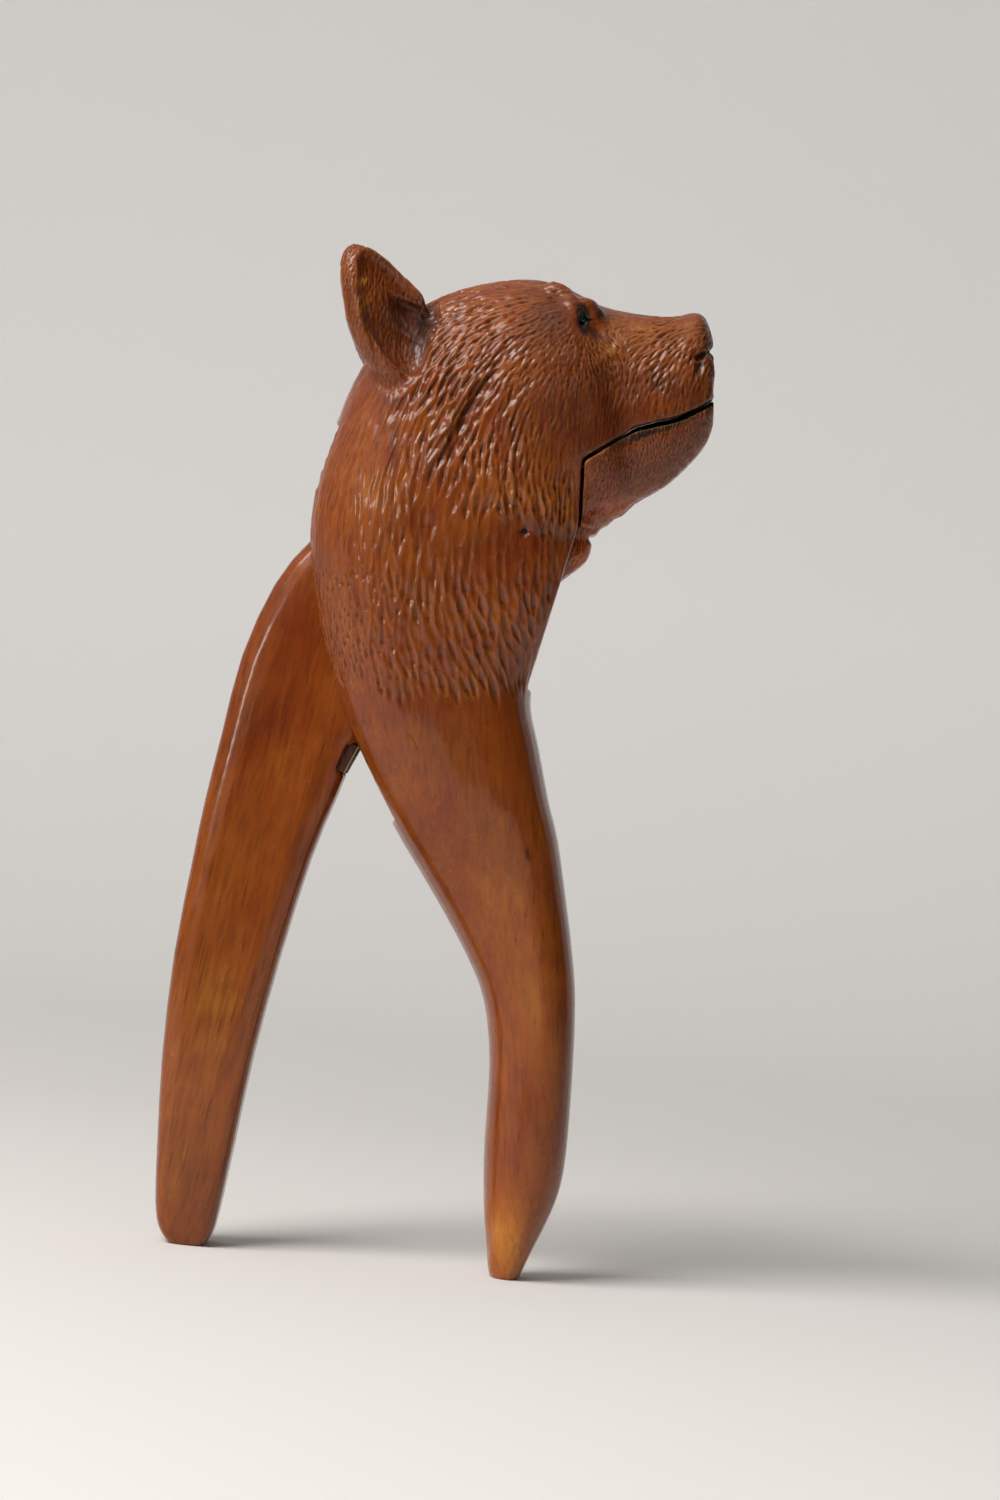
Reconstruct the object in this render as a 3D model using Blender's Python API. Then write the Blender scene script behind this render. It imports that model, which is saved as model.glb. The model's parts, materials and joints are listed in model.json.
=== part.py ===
"""Carved bear nutcracker: two limewood levers that cross on one pin.

The head lever is skull, neck and front handle in one piece, sawn through at the neck.
The jaw lever is lower jaw, tongue and rear handle in one piece, and swings in that slot.
Both levers are drawn about the pin, with +X to the nose and +Z up, and the whole tool is
then leaned back until it stands on the ends of its two handles.
"""
import math

import bmesh
import bpy
from mathutils import Matrix, Vector
from mathutils.bvhtree import BVHTree

# Reaches of the head from the pin, in metres
NOSE_REACH = 0.0367
NAPE_REACH = 0.0423
CROWN_RISE = 0.0497
NECK_DROP = 0.0554
HEAD_WIDTH = 0.0430
SNOUT_WIDTH = 0.0260

# Front handle
FRONT_FOOT_DROP = 0.1445
FRONT_FOOT_BACK = 0.0041
HANDLE_BOW = 0.0100
HANDLE_DEPTH = 0.0164
HANDLE_WIDTH = 0.0190

# Jaw lever
REAR_FOOT_DROP = 0.1377
REAR_FOOT_BACK = 0.0655
LEVER_THICKNESS = 0.0145
OPENING_DEGREES = 30

# Slot through the neck
SLOT_CLEARANCE = 0.0005
SLOT_HEADROOM = 0.0012
CUT_OVERRUN = 0.0100

# Pin
PIN_DIAMETER = 0.0012
PIN_RECESS = 0.0010
FIT_GAP = 0.0003

# Insert in the rear handle
INSERT_LENGTH = 0.0054
INSERT_DEPTH = 0.0024
INSERT_WIDTH = 0.0116

# Ears
EAR_LENGTH = 0.0300
EAR_BREADTH = 0.0202
EAR_THICKNESS = 0.0100
EAR_SPREAD = 0.0270
EAR_RIM = 0.0016

# Eyes
EYE_DIAMETER = 0.0046
EYE_PROUD = 0.0016
EYE_WIRE_DIAMETER = 0.0009
EYE_WIRE_LENGTH = 0.0065

# Nose, brow and mouth
NOSE_WIDTH = 0.0125
NOSE_HEIGHT = 0.0070
NOSTRIL_DIAMETER = 0.0022
BROW_LENGTH = 0.0140
BROW_BULK = 0.0082
BROW_SPREAD = 0.0165
MOUTH_GAP = 0.0010
SPLIT_GAP = 0.0005
HOLLOW_LENGTH = 0.0180
HOLLOW_WIDTH = 0.0150
HOLLOW_DEPTH = 0.0052

# Fineness of the surfaces
HEAD_SIDES = 28
HEAD_STEPS = 3
LEVER_SIDES = 20
LEVER_STEPS = 2
EAR_SIDES = 14
EAR_STEPS = 2
BALL_SIDES = 20
BALL_RINGS = 12
ROD_SIDES = 20
SHARP_DEGREES = 40

# Head lever, foot to neck: drop share, bow share, depth share, width share, squareness share
FRONT_HANDLE_SHARES = [
    (1.010, -0.18, 0.26, 0.44, 2.2),
    (0.995, -0.06, 0.38, 0.53, 2.2),
    (0.980, 0.04, 0.46, 0.60, 2.2),
    (0.950, 0.26, 0.61, 0.73, 2.2),
    (0.912, 0.53, 0.80, 0.86, 2.2),
    (0.872, 0.73, 0.93, 0.94, 2.2),
    (0.815, 0.85, 0.99, 0.98, 2.2),
    (0.710, 0.96, 1.00, 1.00, 2.3),
    (0.626, 1.00, 1.09, 1.06, 2.4),
    (0.560, 0.94, 1.28, 1.16, 2.5),
    (0.480, 0.80, 1.58, 1.34, 2.6),
    (0.410, 0.66, 1.86, 1.54, 2.8),
]

# Head lever, neck to nose: places of the throat side and the nape side, width share, squareness share
NECK_SHARES = [
    (0.13, -0.93, -0.66, -0.93, 0.75, 2.9),
    (0.08, -0.75, -0.77, -0.75, 0.80, 3.0),
    (0.035, -0.59, -0.85, -0.59, 0.84, 3.0),
    (0.08, -0.46, -0.90, -0.46, 0.88, 3.0),
    (0.22, -0.30, -0.95, -0.32, 0.92, 3.0),
    (0.32, -0.14, -0.98, -0.18, 0.95, 2.9),
    (0.38, 0.00, -1.00, -0.03, 0.97, 2.8),
    (0.40, 0.03, -0.99, 0.12, 0.99, 2.7),
    (0.40, 0.04, -0.93, 0.30, 1.00, 2.6),
    (0.41, 0.04, -0.85, 0.48, 1.00, 2.5),
    (0.43, 0.04, -0.75, 0.66, 0.98, 2.4),
    (0.45, 0.05, -0.60, 0.82, 0.96, 2.3),
    (0.47, 0.06, -0.38, 0.94, 0.92, 2.3),
    (0.50, 0.07, -0.11, 1.00, 0.87, 2.3),
    (0.53, 0.08, 0.15, 1.00, 0.79, 2.3),
    (0.56, 0.10, 0.29, 0.95, 0.70, 2.3),
]
SNOUT_SHARES = [
    (0.60, 0.12, 0.42, 0.90, 1.04, 2.3),
    (0.67, 0.15, 0.61, 0.87, 0.99, 2.4),
    (0.77, 0.20, 0.78, 0.86, 0.94, 2.5),
    (0.88, 0.28, 0.91, 0.87, 0.86, 2.6),
    (0.96, 0.35, 0.97, 0.84, 0.76, 2.6),
    (1.00, 0.42, 1.00, 0.77, 0.60, 2.6),
]

# Mouth line of the upper jaw, from the corner of the mouth to past the lips, and its gap share
MOUTH_SHARES = [
    (0.30, 0.28, 0.40),
    (0.51, 0.375, 0.45),
    (0.58, 0.41, 0.85),
    (0.68, 0.43, 1.00),
    (0.80, 0.45, 1.00),
    (0.92, 0.49, 0.90),
    (0.98, 0.52, 0.80),
    (1.15, 0.60, 0.70),
]
# Flat front of the neck, from the corner of the mouth down to the floor of the slot
NECK_FRONT_SHARES = [(0.28, 0.02), (0.015, -0.54)]
SLOT_FLOOR_SHARES = [(0.00, -0.55), (-0.60, -1.00)]

# Jaw lever, foot to tongue: places of the inner edge and the outer edge, thickness share
REAR_HANDLE_SHARES = [
    (0.965, 1.01, 1.03, 1.01, 0.58),
    (0.945, 1.00, 1.06, 0.995, 0.76),
    (0.92, 0.98, 1.085, 0.975, 0.90),
    (0.895, 0.935, 1.095, 0.94, 0.99),
    (0.86, 0.86, 1.09, 0.86, 1.00),
    (0.80, 0.73, 1.075, 0.73, 1.00),
    (0.72, 0.59, 1.04, 0.59, 1.00),
    (0.63, 0.455, 0.985, 0.455, 1.00),
    (0.56, 0.375, 0.95, 0.375, 1.00),
    (0.49, 0.30, 0.90, 0.28, 1.00),
]
TONGUE_SHARES = [
    (-0.64, -0.66, -1.30, -0.42, 1.00),
    (-0.46, -0.55, -1.15, -0.17, 1.00),
    (-0.26, -0.43, -0.99, -0.02, 1.00),
    (-0.08, -0.32, -0.81, 0.09, 1.00),
    (0.09, -0.23, -0.49, 0.18, 1.00),
    (0.20, -0.16, -0.13, 0.24, 1.00),
    (0.28, -0.12, 0.14, 0.25, 1.00),
    (0.34, -0.07, 0.32, 0.24, 0.98),
    (0.37, -0.02, 0.40, 0.24, 0.96),
    (0.42, 0.08, 0.46, 0.23, 0.92),
]
LEVER_SQUARENESS_SHARE = 4.6

# Places of the details on the head
EAR_MIDDLE_SHARE = (-0.625, 0.83)
EAR_LEAN_DEGREES = 21
EAR_FACING_DEGREES = 35
# Ear, root to tip: height share, front rim share, back rim share, thickness share
EAR_SHARES = [
    (-0.95, -0.10, -0.22, 0.25),
    (-0.88, 0.10, -0.40, 0.50),
    (-0.68, 0.36, -0.62, 0.75),
    (-0.36, 0.68, -0.82, 0.94),
    (0.00, 0.94, -0.88, 1.00),
    (0.25, 0.99, -0.81, 0.98),
    (0.62, 0.71, -0.66, 0.84),
    (0.86, 0.37, -0.51, 0.62),
    (0.97, 0.08, -0.36, 0.42),
    (1.02, -0.08, -0.24, 0.20),
]
ROUND_SHARE = 2.0
EYE_SHARE = (0.325, 0.845)
EYE_FACING_DEGREES = 50
BROW_SHARE = (0.21, 0.86)
BROW_TILT_DEGREES = 60
NOSE_SHARE = (0.89, 0.80)
NOSTRIL_SHARE = (0.985, 0.715)
NOSTRIL_SPREAD_SHARE = 0.50
HOLLOW_SHARE = (0.66, 0.415)
HOLLOW_TILT_DEGREES = 18

# Finishes: colour, roughness, metallic
LIMEWOOD_STAIN = ((0.36, 0.115, 0.030, 1.0), 0.38, 0.0)
HANDLE_STAIN = ((0.40, 0.150, 0.038, 1.0), 0.34, 0.0)
DULL_STEEL = ((0.33, 0.32, 0.31, 1.0), 0.40, 1.0)
DARK_INSERT = ((0.060, 0.022, 0.012, 1.0), 0.55, 0.0)
EYE_GLASS = ((0.010, 0.020, 0.018, 1.0), 0.05, 0.0)


def clear_scene():
    for obj in list(bpy.data.objects):
        bpy.data.objects.remove(obj, do_unlink=True)


def make_collection(name):
    collection = bpy.data.collections.new(name)
    bpy.context.scene.collection.children.link(collection)
    return collection


def make_material(name, finish):
    colour, roughness, metallic = finish
    material = bpy.data.materials.new(name)
    material.use_nodes = True
    shader = material.node_tree.nodes["Principled BSDF"]
    shader.inputs["Base Color"].default_value = colour
    shader.inputs["Roughness"].default_value = roughness
    shader.inputs["Metallic"].default_value = metallic
    material.diffuse_color = colour
    return material


def head_spot(x_share, z_share):
    """A place on the head, from shares of its four reaches from the pin."""
    x = x_share * (NOSE_REACH if x_share >= 0 else NAPE_REACH)
    z = z_share * (CROWN_RISE if z_share >= 0 else NECK_DROP)
    return Vector((x, 0, z))


def smooth_rows(rows, steps):
    """Rows of numbers with a smooth curve of extra rows between each two."""
    out = []
    for i in range(len(rows) - 1):
        before, start = rows[max(i - 1, 0)], rows[i]
        end, after = rows[i + 1], rows[min(i + 2, len(rows) - 1)]
        for step in range(steps):
            t = step / steps
            out.append([
                0.5 * (2 * b + (c - a) * t + (2 * a - 5 * b + 4 * c - d) * t ** 2
                       + (3 * b - a - 3 * c + d) * t ** 3)
                for a, b, c, d in zip(before, start, end, after)
            ])
    out.append(list(rows[-1]))
    return out


def rounded(angle, squareness):
    """Cosine and sine of a circle pressed towards a square."""
    c, s = math.cos(angle), math.sin(angle)
    power = 2 / squareness
    return math.copysign(abs(c) ** power, c), math.copysign(abs(s) ** power, s)


def loft(name, rows, sides, steps, collection, material=None, place=None):
    """Closed skin over sections, each spanning a front place and a back place."""
    bm = bmesh.new()
    rings = []
    for front_x, front_z, back_x, back_z, half_width, squareness in smooth_rows(rows, steps):
        front, back = Vector((front_x, 0, front_z)), Vector((back_x, 0, back_z))
        middle, reach = (front + back) / 2, (front - back) / 2
        ring = []
        for side in range(sides):
            along, across = rounded(2 * math.pi * side / sides, squareness)
            ring.append(bm.verts.new(middle + reach * along + Vector((0, half_width * across, 0))))
        rings.append(ring)
    for lower, upper in zip(rings, rings[1:]):
        for side in range(sides):
            after = (side + 1) % sides
            bm.faces.new((lower[side], lower[after], upper[after], upper[side]))
    bm.faces.new(list(reversed(rings[0])))
    bm.faces.new(rings[-1])
    if place:
        bmesh.ops.transform(bm, matrix=place, verts=bm.verts)
    bmesh.ops.recalc_face_normals(bm, faces=bm.faces)
    return finish_mesh(name, bm, collection, material)


def finish_mesh(name, bm, collection, material=None):
    mesh = bpy.data.meshes.new(name)
    bm.to_mesh(mesh)
    bm.free()
    mesh.shade_smooth()
    mesh.set_sharp_from_angle(angle=math.radians(SHARP_DEGREES))
    obj = bpy.data.objects.new(name, mesh)
    collection.objects.link(obj)
    if material:
        mesh.materials.append(material)
    return obj


def prism(name, outline, width, collection):
    """A side outline given a width across, as a cutter."""
    bm = bmesh.new()
    near = Vector((0, -width / 2, 0))
    face = bm.faces.new([bm.verts.new(Vector(spot) + near) for spot in outline])
    grown = bmesh.ops.extrude_face_region(bm, geom=[face])
    moved = [item for item in grown["geom"] if isinstance(item, bmesh.types.BMVert)]
    bmesh.ops.translate(bm, verts=moved, vec=(0, width, 0))
    bmesh.ops.recalc_face_normals(bm, faces=bm.faces)
    return finish_mesh(name, bm, collection)


def ball(name, middle, size, turn, collection, material=None):
    """A sphere drawn out to three sizes and turned."""
    bm = bmesh.new()
    bmesh.ops.create_uvsphere(bm, u_segments=BALL_SIDES, v_segments=BALL_RINGS, radius=0.5)
    place = Matrix.Translation(middle) @ turn @ Matrix.Diagonal((*size, 1))
    bmesh.ops.transform(bm, matrix=place, verts=bm.verts)
    return finish_mesh(name, bm, collection, material)


def rod(name, start, end, diameter, collection, material=None):
    """A round bar between two places."""
    along = end - start
    bm = bmesh.new()
    bmesh.ops.create_cone(bm, cap_ends=True, segments=ROD_SIDES, radius1=diameter / 2,
                          radius2=diameter / 2, depth=along.length)
    turn = along.to_track_quat("Z", "Y").to_matrix().to_4x4()
    bmesh.ops.transform(bm, matrix=Matrix.Translation((start + end) / 2) @ turn, verts=bm.verts)
    return finish_mesh(name, bm, collection, material)


def block(name, middle, size, turn, collection, material=None):
    bm = bmesh.new()
    bmesh.ops.create_cube(bm, size=1)
    place = Matrix.Translation(middle) @ turn @ Matrix.Diagonal((*size, 1))
    bmesh.ops.transform(bm, matrix=place, verts=bm.verts)
    return finish_mesh(name, bm, collection, material)


def combine(obj, other, operation):
    modifier = obj.modifiers.new(f"{operation.lower()}_{other.name}", "BOOLEAN")
    modifier.operation = operation
    modifier.solver = "EXACT"
    modifier.object = other


def swung_open(place):
    """A place on the jaw lever once the jaw is wide open."""
    return Matrix.Rotation(math.radians(OPENING_DEGREES), 4, "Y") @ place


def head_rows():
    """Sections of the head lever's blank, from the foot up the neck and out to the nose."""
    rows = []
    for drop, bow, depth, width, squareness in FRONT_HANDLE_SHARES:
        front = bow * HANDLE_BOW
        z = -drop * FRONT_FOOT_DROP
        rows.append((front, z, front - depth * HANDLE_DEPTH, z, width * HANDLE_WIDTH / 2, squareness))
    for table, full_width in ((NECK_SHARES, HEAD_WIDTH), (SNOUT_SHARES, SNOUT_WIDTH)):
        for front_x, front_z, back_x, back_z, width, squareness in table:
            front, back = head_spot(front_x, front_z), head_spot(back_x, back_z)
            rows.append((front.x, front.z, back.x, back.z, width * full_width / 2, squareness))
    return rows


def lever_rows():
    """Sections of the rear handle and tongue, from the foot up into the jaw."""
    rows = []
    for inner_x, inner_z, outer_x, outer_z, thickness in REAR_HANDLE_SHARES:
        rows.append((-inner_x * REAR_FOOT_BACK, -inner_z * REAR_FOOT_DROP, -outer_x * REAR_FOOT_BACK,
                     -outer_z * REAR_FOOT_DROP, thickness * LEVER_THICKNESS / 2, LEVER_SQUARENESS_SHARE))
    for inner_x, inner_z, outer_x, outer_z, thickness in TONGUE_SHARES:
        inner, outer = head_spot(inner_x, inner_z), head_spot(outer_x, outer_z)
        rows.append((inner.x, inner.z, outer.x, outer.z, thickness * LEVER_THICKNESS / 2,
                     LEVER_SQUARENESS_SHARE))
    return rows


def mouth_line(gap=0):
    """The edge of the upper lip, or of the lower lip when a gap is given."""
    return [head_spot(x_share, z_share) + Vector((gap / 2, 0, -gap)) * gap_share
            for x_share, z_share, gap_share in MOUTH_SHARES]


def head_clearance_outline():
    """What is sawn off the head blank for the jaw: all below the mouth line, ahead of the neck."""
    lips = mouth_line()
    corner, foot = [head_spot(*share) for share in NECK_FRONT_SHARES]
    ahead = lips[-1].x + CUT_OVERRUN
    return [foot, corner] + lips + [Vector((ahead, 0, lips[-1].z)), Vector((ahead, 0, foot.z))]


def jaw_outline():
    """What of the same blank becomes the jaw, a mouth gap away from the head."""
    lips = mouth_line(MOUTH_GAP)
    lips[0].x = mouth_line()[0].x + SPLIT_GAP
    corner = head_spot(*NECK_FRONT_SHARES[0]) + Vector((SPLIT_GAP, 0, 0))
    ahead = lips[-1].x + CUT_OVERRUN
    return [corner] + lips + [Vector((ahead, 0, lips[-1].z)), Vector((ahead, 0, corner.z))]


def slot_outline():
    """The slot that the tongue swings in, open at the front and back of the neck."""
    upper_edge = [Vector((row[2], 0, row[3])) for row in smooth_rows(lever_rows(), LEVER_STEPS)]
    inside_neck = [spot for spot in upper_edge if spot.x > -NAPE_REACH]
    top = max(spot.z for spot in inside_neck) + 2 * SLOT_HEADROOM
    swung = [swung_open(spot) + Vector((0, 0, SLOT_HEADROOM)) for spot in inside_neck if spot.x < 0]
    over_pin = [spot for spot in swung if spot.z > top]
    front_floor, back_floor = [head_spot(*share) for share in SLOT_FLOOR_SHARES]
    slope = (front_floor - back_floor).normalized() * CUT_OVERRUN
    ahead = NOSE_REACH / 2
    outside = over_pin[0].x - 2 * CUT_OVERRUN
    return [front_floor + slope, back_floor - slope, Vector((outside, 0, back_floor.z)),
            Vector((outside, 0, over_pin[0].z))] + over_pin + [
            Vector((over_pin[-1].x + 2 * SLOT_HEADROOM, 0, top)), Vector((ahead, 0, top)),
            Vector((ahead, 0, front_floor.z + slope.z))]


def side_surface(blank, spot):
    """How far out the blank's surface lies at a place in the side view."""
    depsgraph = bpy.context.evaluated_depsgraph_get()
    tree = BVHTree.FromObject(blank, depsgraph)
    hit = tree.ray_cast(Vector((spot.x, -HEAD_WIDTH, spot.z)), Vector((0, 1, 0)))
    return -hit[0].y


def ear_rows(rim):
    """Sections of one ear from its root to its tip, drawn in by a rim for its hollow."""
    rows = []
    for height, front, back, thickness in EAR_SHARES:
        rows.append((front * (EAR_BREADTH / 2 - rim), height * (EAR_LENGTH / 2 - rim),
                     back * (EAR_BREADTH / 2 - rim), height * (EAR_LENGTH / 2 - rim),
                     thickness * (EAR_THICKNESS - rim) / 2, ROUND_SHARE))
    return rows


def make_ears(head, cutters):
    """Cupped ears standing off the back corners of the skull, hollow side forward and out."""
    for side, name in ((-1, "right"), (1, "left")):
        middle = head_spot(*EAR_MIDDLE_SHARE) + Vector((0, side * EAR_SPREAD / 2, 0))
        place = (Matrix.Translation(middle) @ Matrix.Rotation(math.radians(-EAR_LEAN_DEGREES), 4, "Y")
                 @ Matrix.Rotation(math.radians(-side * EAR_FACING_DEGREES), 4, "Z"))
        out = place @ Matrix.Translation((0, side * (EAR_THICKNESS - EAR_RIM) / 2, 0))
        ear = loft(f"ear_{name}", ear_rows(0), EAR_SIDES, EAR_STEPS, cutters, place=place)
        hollow = loft(f"ear_hollow_{name}", ear_rows(EAR_RIM), EAR_SIDES, EAR_STEPS, cutters, place=out)
        combine(head, ear, "UNION")
        combine(head, hollow, "DIFFERENCE")


def make_eyes(head, blank, parts, cutters, stance, glass, wire):
    """A glass bead in each socket, with its wire shank in a hole behind it."""
    spot = head_spot(*EYE_SHARE)
    surface = side_surface(blank, spot)
    facing = math.radians(EYE_FACING_DEGREES)
    bead_size = [EYE_DIAMETER] * 3
    socket_size = [EYE_DIAMETER + 2 * FIT_GAP] * 3
    for side, name in ((-1, "right"), (1, "left")):
        gaze = Vector((math.cos(facing), side * math.sin(facing), 0))
        front = Vector((spot.x, side * surface, spot.z)) + gaze * EYE_PROUD
        middle = front - gaze * EYE_DIAMETER / 2
        bead = ball(f"glass_eye_{name}", middle, bead_size, Matrix(), parts, glass)
        socket = ball(f"socket_{name}", middle, socket_size, Matrix(), cutters)
        combine(head, socket, "DIFFERENCE")
        start = middle - gaze * (EYE_DIAMETER / 2 + FIT_GAP)
        end = start - gaze * EYE_WIRE_LENGTH
        shank = rod(f"eye_wire_{name}", start, end, EYE_WIRE_DIAMETER, parts, wire)
        hole = rod(f"wire_hole_{name}", middle, end - gaze * FIT_GAP, EYE_WIRE_DIAMETER + 2 * FIT_GAP,
                   cutters)
        combine(head, hole, "DIFFERENCE")
        bead.parent = stance
        shank.parent = stance


def make_face(head, cutters):
    """Brow ridges, the pad of the nose and its two nostrils."""
    for side, name in ((-1, "right"), (1, "left")):
        spot = head_spot(*BROW_SHARE)
        place = Vector((spot.x, side * BROW_SPREAD / 2, spot.z))
        turn = Matrix.Rotation(math.radians(BROW_TILT_DEGREES), 4, "Y")
        brow = ball(f"brow_{name}", place, (BROW_LENGTH, BROW_BULK, BROW_BULK), turn, cutters)
        combine(head, brow, "UNION")
    nose = ball("nose_pad", head_spot(*NOSE_SHARE), (NOSE_HEIGHT, NOSE_WIDTH, NOSE_HEIGHT), Matrix(),
                cutters)
    combine(head, nose, "UNION")
    for side, name in ((-1, "right"), (1, "left")):
        place = head_spot(*NOSTRIL_SHARE) + Vector((0, side * NOSE_WIDTH / 2 * NOSTRIL_SPREAD_SHARE, 0))
        nostril = ball(f"nostril_{name}", place, [NOSTRIL_DIAMETER] * 3, Matrix(), cutters)
        combine(head, nostril, "DIFFERENCE")


def nut_hollow(name, cutters):
    """The hollow that a nut sits in, half in the palate and half in the jaw."""
    turn = Matrix.Rotation(math.radians(-HOLLOW_TILT_DEGREES), 4, "Y")
    middle = head_spot(*HOLLOW_SHARE) - Vector((0, 0, MOUTH_GAP / 2))
    return ball(name, middle, (HOLLOW_LENGTH, HOLLOW_WIDTH, 2 * HOLLOW_DEPTH), turn, cutters)


def make_insert(jaw, parts, cutters, material):
    """A dark block let into the inner edge of the rear handle, just below the neck."""
    lower, upper = [Vector((-row[0] * REAR_FOOT_BACK, 0, -row[1] * REAR_FOOT_DROP))
                    for row in REAR_HANDLE_SHARES[-2:]]
    along = (upper - lower).normalized()
    inward = Vector((-along.z, 0, along.x))
    middle = upper - along * INSERT_LENGTH / 2 + inward * INSERT_DEPTH / 2
    turn = Matrix.Rotation(-math.atan2(along.z, along.x), 4, "Y")
    size = (INSERT_LENGTH, INSERT_WIDTH, INSERT_DEPTH)
    rebate = block("insert_rebate", middle, [side + 2 * FIT_GAP for side in size], turn, cutters)
    combine(jaw, rebate, "DIFFERENCE")
    return block("lever_insert", middle, size, turn, parts, material)


def make_pin(head, jaw, blank, parts, cutters, material):
    """The pin through neck and tongue, its ends sunk below the wood."""
    half = side_surface(blank, Vector((0, 0, 0))) - PIN_RECESS
    bore = rod("pin_bore", Vector((0, -HEAD_WIDTH, 0)), Vector((0, HEAD_WIDTH, 0)),
               PIN_DIAMETER + 2 * FIT_GAP, cutters)
    combine(head, bore, "DIFFERENCE")
    combine(jaw, bore, "DIFFERENCE")
    return rod("pivot_pin", Vector((0, -half, 0)), Vector((0, half, 0)), PIN_DIAMETER, parts, material)


def make_stance(parts):
    """The empty at the pin that leans the tool until both feet meet the ground."""
    lean = math.atan2(FRONT_FOOT_DROP - REAR_FOOT_DROP, REAR_FOOT_BACK - FRONT_FOOT_BACK)
    front_foot = Matrix.Rotation(-lean, 4, "Y") @ Vector((-FRONT_FOOT_BACK, 0, -FRONT_FOOT_DROP))
    stance = bpy.data.objects.new("pivot_stance", None)
    parts.objects.link(stance)
    stance.rotation_euler = (0, -lean, 0)
    stance.location = (0, 0, -front_foot.z)
    return stance


def cut_feet_flat(head, jaw, cutters):
    """Both handle ends are cut off level with the ground."""
    size = (4 * REAR_FOOT_DROP, 2 * HEAD_WIDTH, 2 * CUT_OVERRUN)
    ground = block("ground_trim", Vector((0, 0, -CUT_OVERRUN)), size, Matrix(), cutters)
    combine(head, ground, "DIFFERENCE")
    combine(jaw, ground, "DIFFERENCE")


def centre_over_origin(stance, pieces):
    bpy.context.view_layer.update()
    depsgraph = bpy.context.evaluated_depsgraph_get()
    reach = [(obj.matrix_world @ vert.co).x for obj in pieces
             for vert in obj.evaluated_get(depsgraph).data.vertices]
    stance.location.x -= (min(reach) + max(reach)) / 2


def main():
    clear_scene()
    parts = make_collection("bear_nutcracker")
    cutters = make_collection("cutters")
    carved_wood = make_material("carved_wood", LIMEWOOD_STAIN)
    lever_wood = make_material("lever_wood", HANDLE_STAIN)
    pin_steel = make_material("pin_steel", DULL_STEEL)
    insert_wood = make_material("insert_wood", DARK_INSERT)
    eye_glass = make_material("eye_glass", EYE_GLASS)
    eye_wire = make_material("eye_wire", DULL_STEEL)

    stance = make_stance(parts)
    blank = loft("head_blank", head_rows(), HEAD_SIDES, HEAD_STEPS, cutters)
    head = loft("head_lever", head_rows(), HEAD_SIDES, HEAD_STEPS, parts, carved_wood)
    jaw = loft("jaw_lever", head_rows(), HEAD_SIDES, HEAD_STEPS, parts, lever_wood)
    board = loft("tongue_and_handle", lever_rows(), LEVER_SIDES, LEVER_STEPS, cutters)
    combine(jaw, prism("jaw_space", jaw_outline(), 2 * HEAD_WIDTH, cutters), "INTERSECT")
    combine(jaw, board, "UNION")

    make_face(head, cutters)
    make_ears(head, cutters)
    combine(head, prism("jaw_clearance", head_clearance_outline(), 2 * HEAD_WIDTH, cutters), "DIFFERENCE")
    combine(head, prism("neck_slot", slot_outline(), LEVER_THICKNESS + 2 * SLOT_CLEARANCE, cutters),
            "DIFFERENCE")
    combine(head, nut_hollow("palate_hollow", cutters), "DIFFERENCE")
    combine(jaw, nut_hollow("jaw_hollow", cutters), "DIFFERENCE")
    make_eyes(head, blank, parts, cutters, stance, eye_glass, eye_wire)
    pin = make_pin(head, jaw, blank, parts, cutters, pin_steel)
    insert = make_insert(jaw, parts, cutters, insert_wood)

    for obj in (head, jaw, pin, insert, *cutters.objects):
        obj.parent = stance
    cut_feet_flat(head, jaw, cutters)
    for cutter in cutters.objects:
        cutter.hide_render = True
        cutter.display_type = "WIRE"
    centre_over_origin(stance, (head, jaw))


main()
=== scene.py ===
import json
import math

import bmesh
import bpy
import numpy as np
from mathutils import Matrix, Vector, kdtree


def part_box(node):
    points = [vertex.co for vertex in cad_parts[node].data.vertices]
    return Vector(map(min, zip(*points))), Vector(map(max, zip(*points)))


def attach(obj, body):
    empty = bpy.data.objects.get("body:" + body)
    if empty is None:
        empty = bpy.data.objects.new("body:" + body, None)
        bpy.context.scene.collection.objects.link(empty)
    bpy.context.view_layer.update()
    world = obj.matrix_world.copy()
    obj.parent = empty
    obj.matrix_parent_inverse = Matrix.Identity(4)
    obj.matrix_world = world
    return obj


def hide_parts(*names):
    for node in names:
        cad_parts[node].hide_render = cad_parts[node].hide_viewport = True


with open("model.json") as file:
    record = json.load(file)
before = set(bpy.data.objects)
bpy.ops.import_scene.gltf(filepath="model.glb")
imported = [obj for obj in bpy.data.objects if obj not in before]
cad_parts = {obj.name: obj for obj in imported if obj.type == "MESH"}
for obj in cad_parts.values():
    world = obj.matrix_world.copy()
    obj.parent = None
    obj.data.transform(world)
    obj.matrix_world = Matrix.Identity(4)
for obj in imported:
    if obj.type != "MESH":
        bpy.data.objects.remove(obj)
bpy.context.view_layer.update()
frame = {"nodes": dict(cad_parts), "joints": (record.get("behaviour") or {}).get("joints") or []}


# The skull, neck and front handle are one piece of limewood, shaped with broad gouges and then cut
# all over with fur, stroke by stroke. The pivot pin through its two cheeks holds it to the jaw lever.
# Places on the carving are pixels of the photographed side view, and hold for both of its sides.
PIN = Vector(frame["joints"][0]["pos_m"])
LEAN = math.radians(6.32)
PIN_PX = (524, 536)
VIEW_CENTRE_PX = (500, 750)
METRES_PER_PX = 0.000195
VIEW_DISTANCE = 0.8125
MM = 0.001

HEAD_SKIN_SIZE = 0.00062
FINE_EDGE = 0.8 * HEAD_SKIN_SIZE
HEAD_FACES_KEPT = 0.71
CHEEK_FACE = 0.00775
SLOT_MARGIN = 0.0004
SLOT_TOP_PY = (380, 395)
FUR_FOOT_PY = (715, 735)
SHARP_BEND = 700


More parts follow.
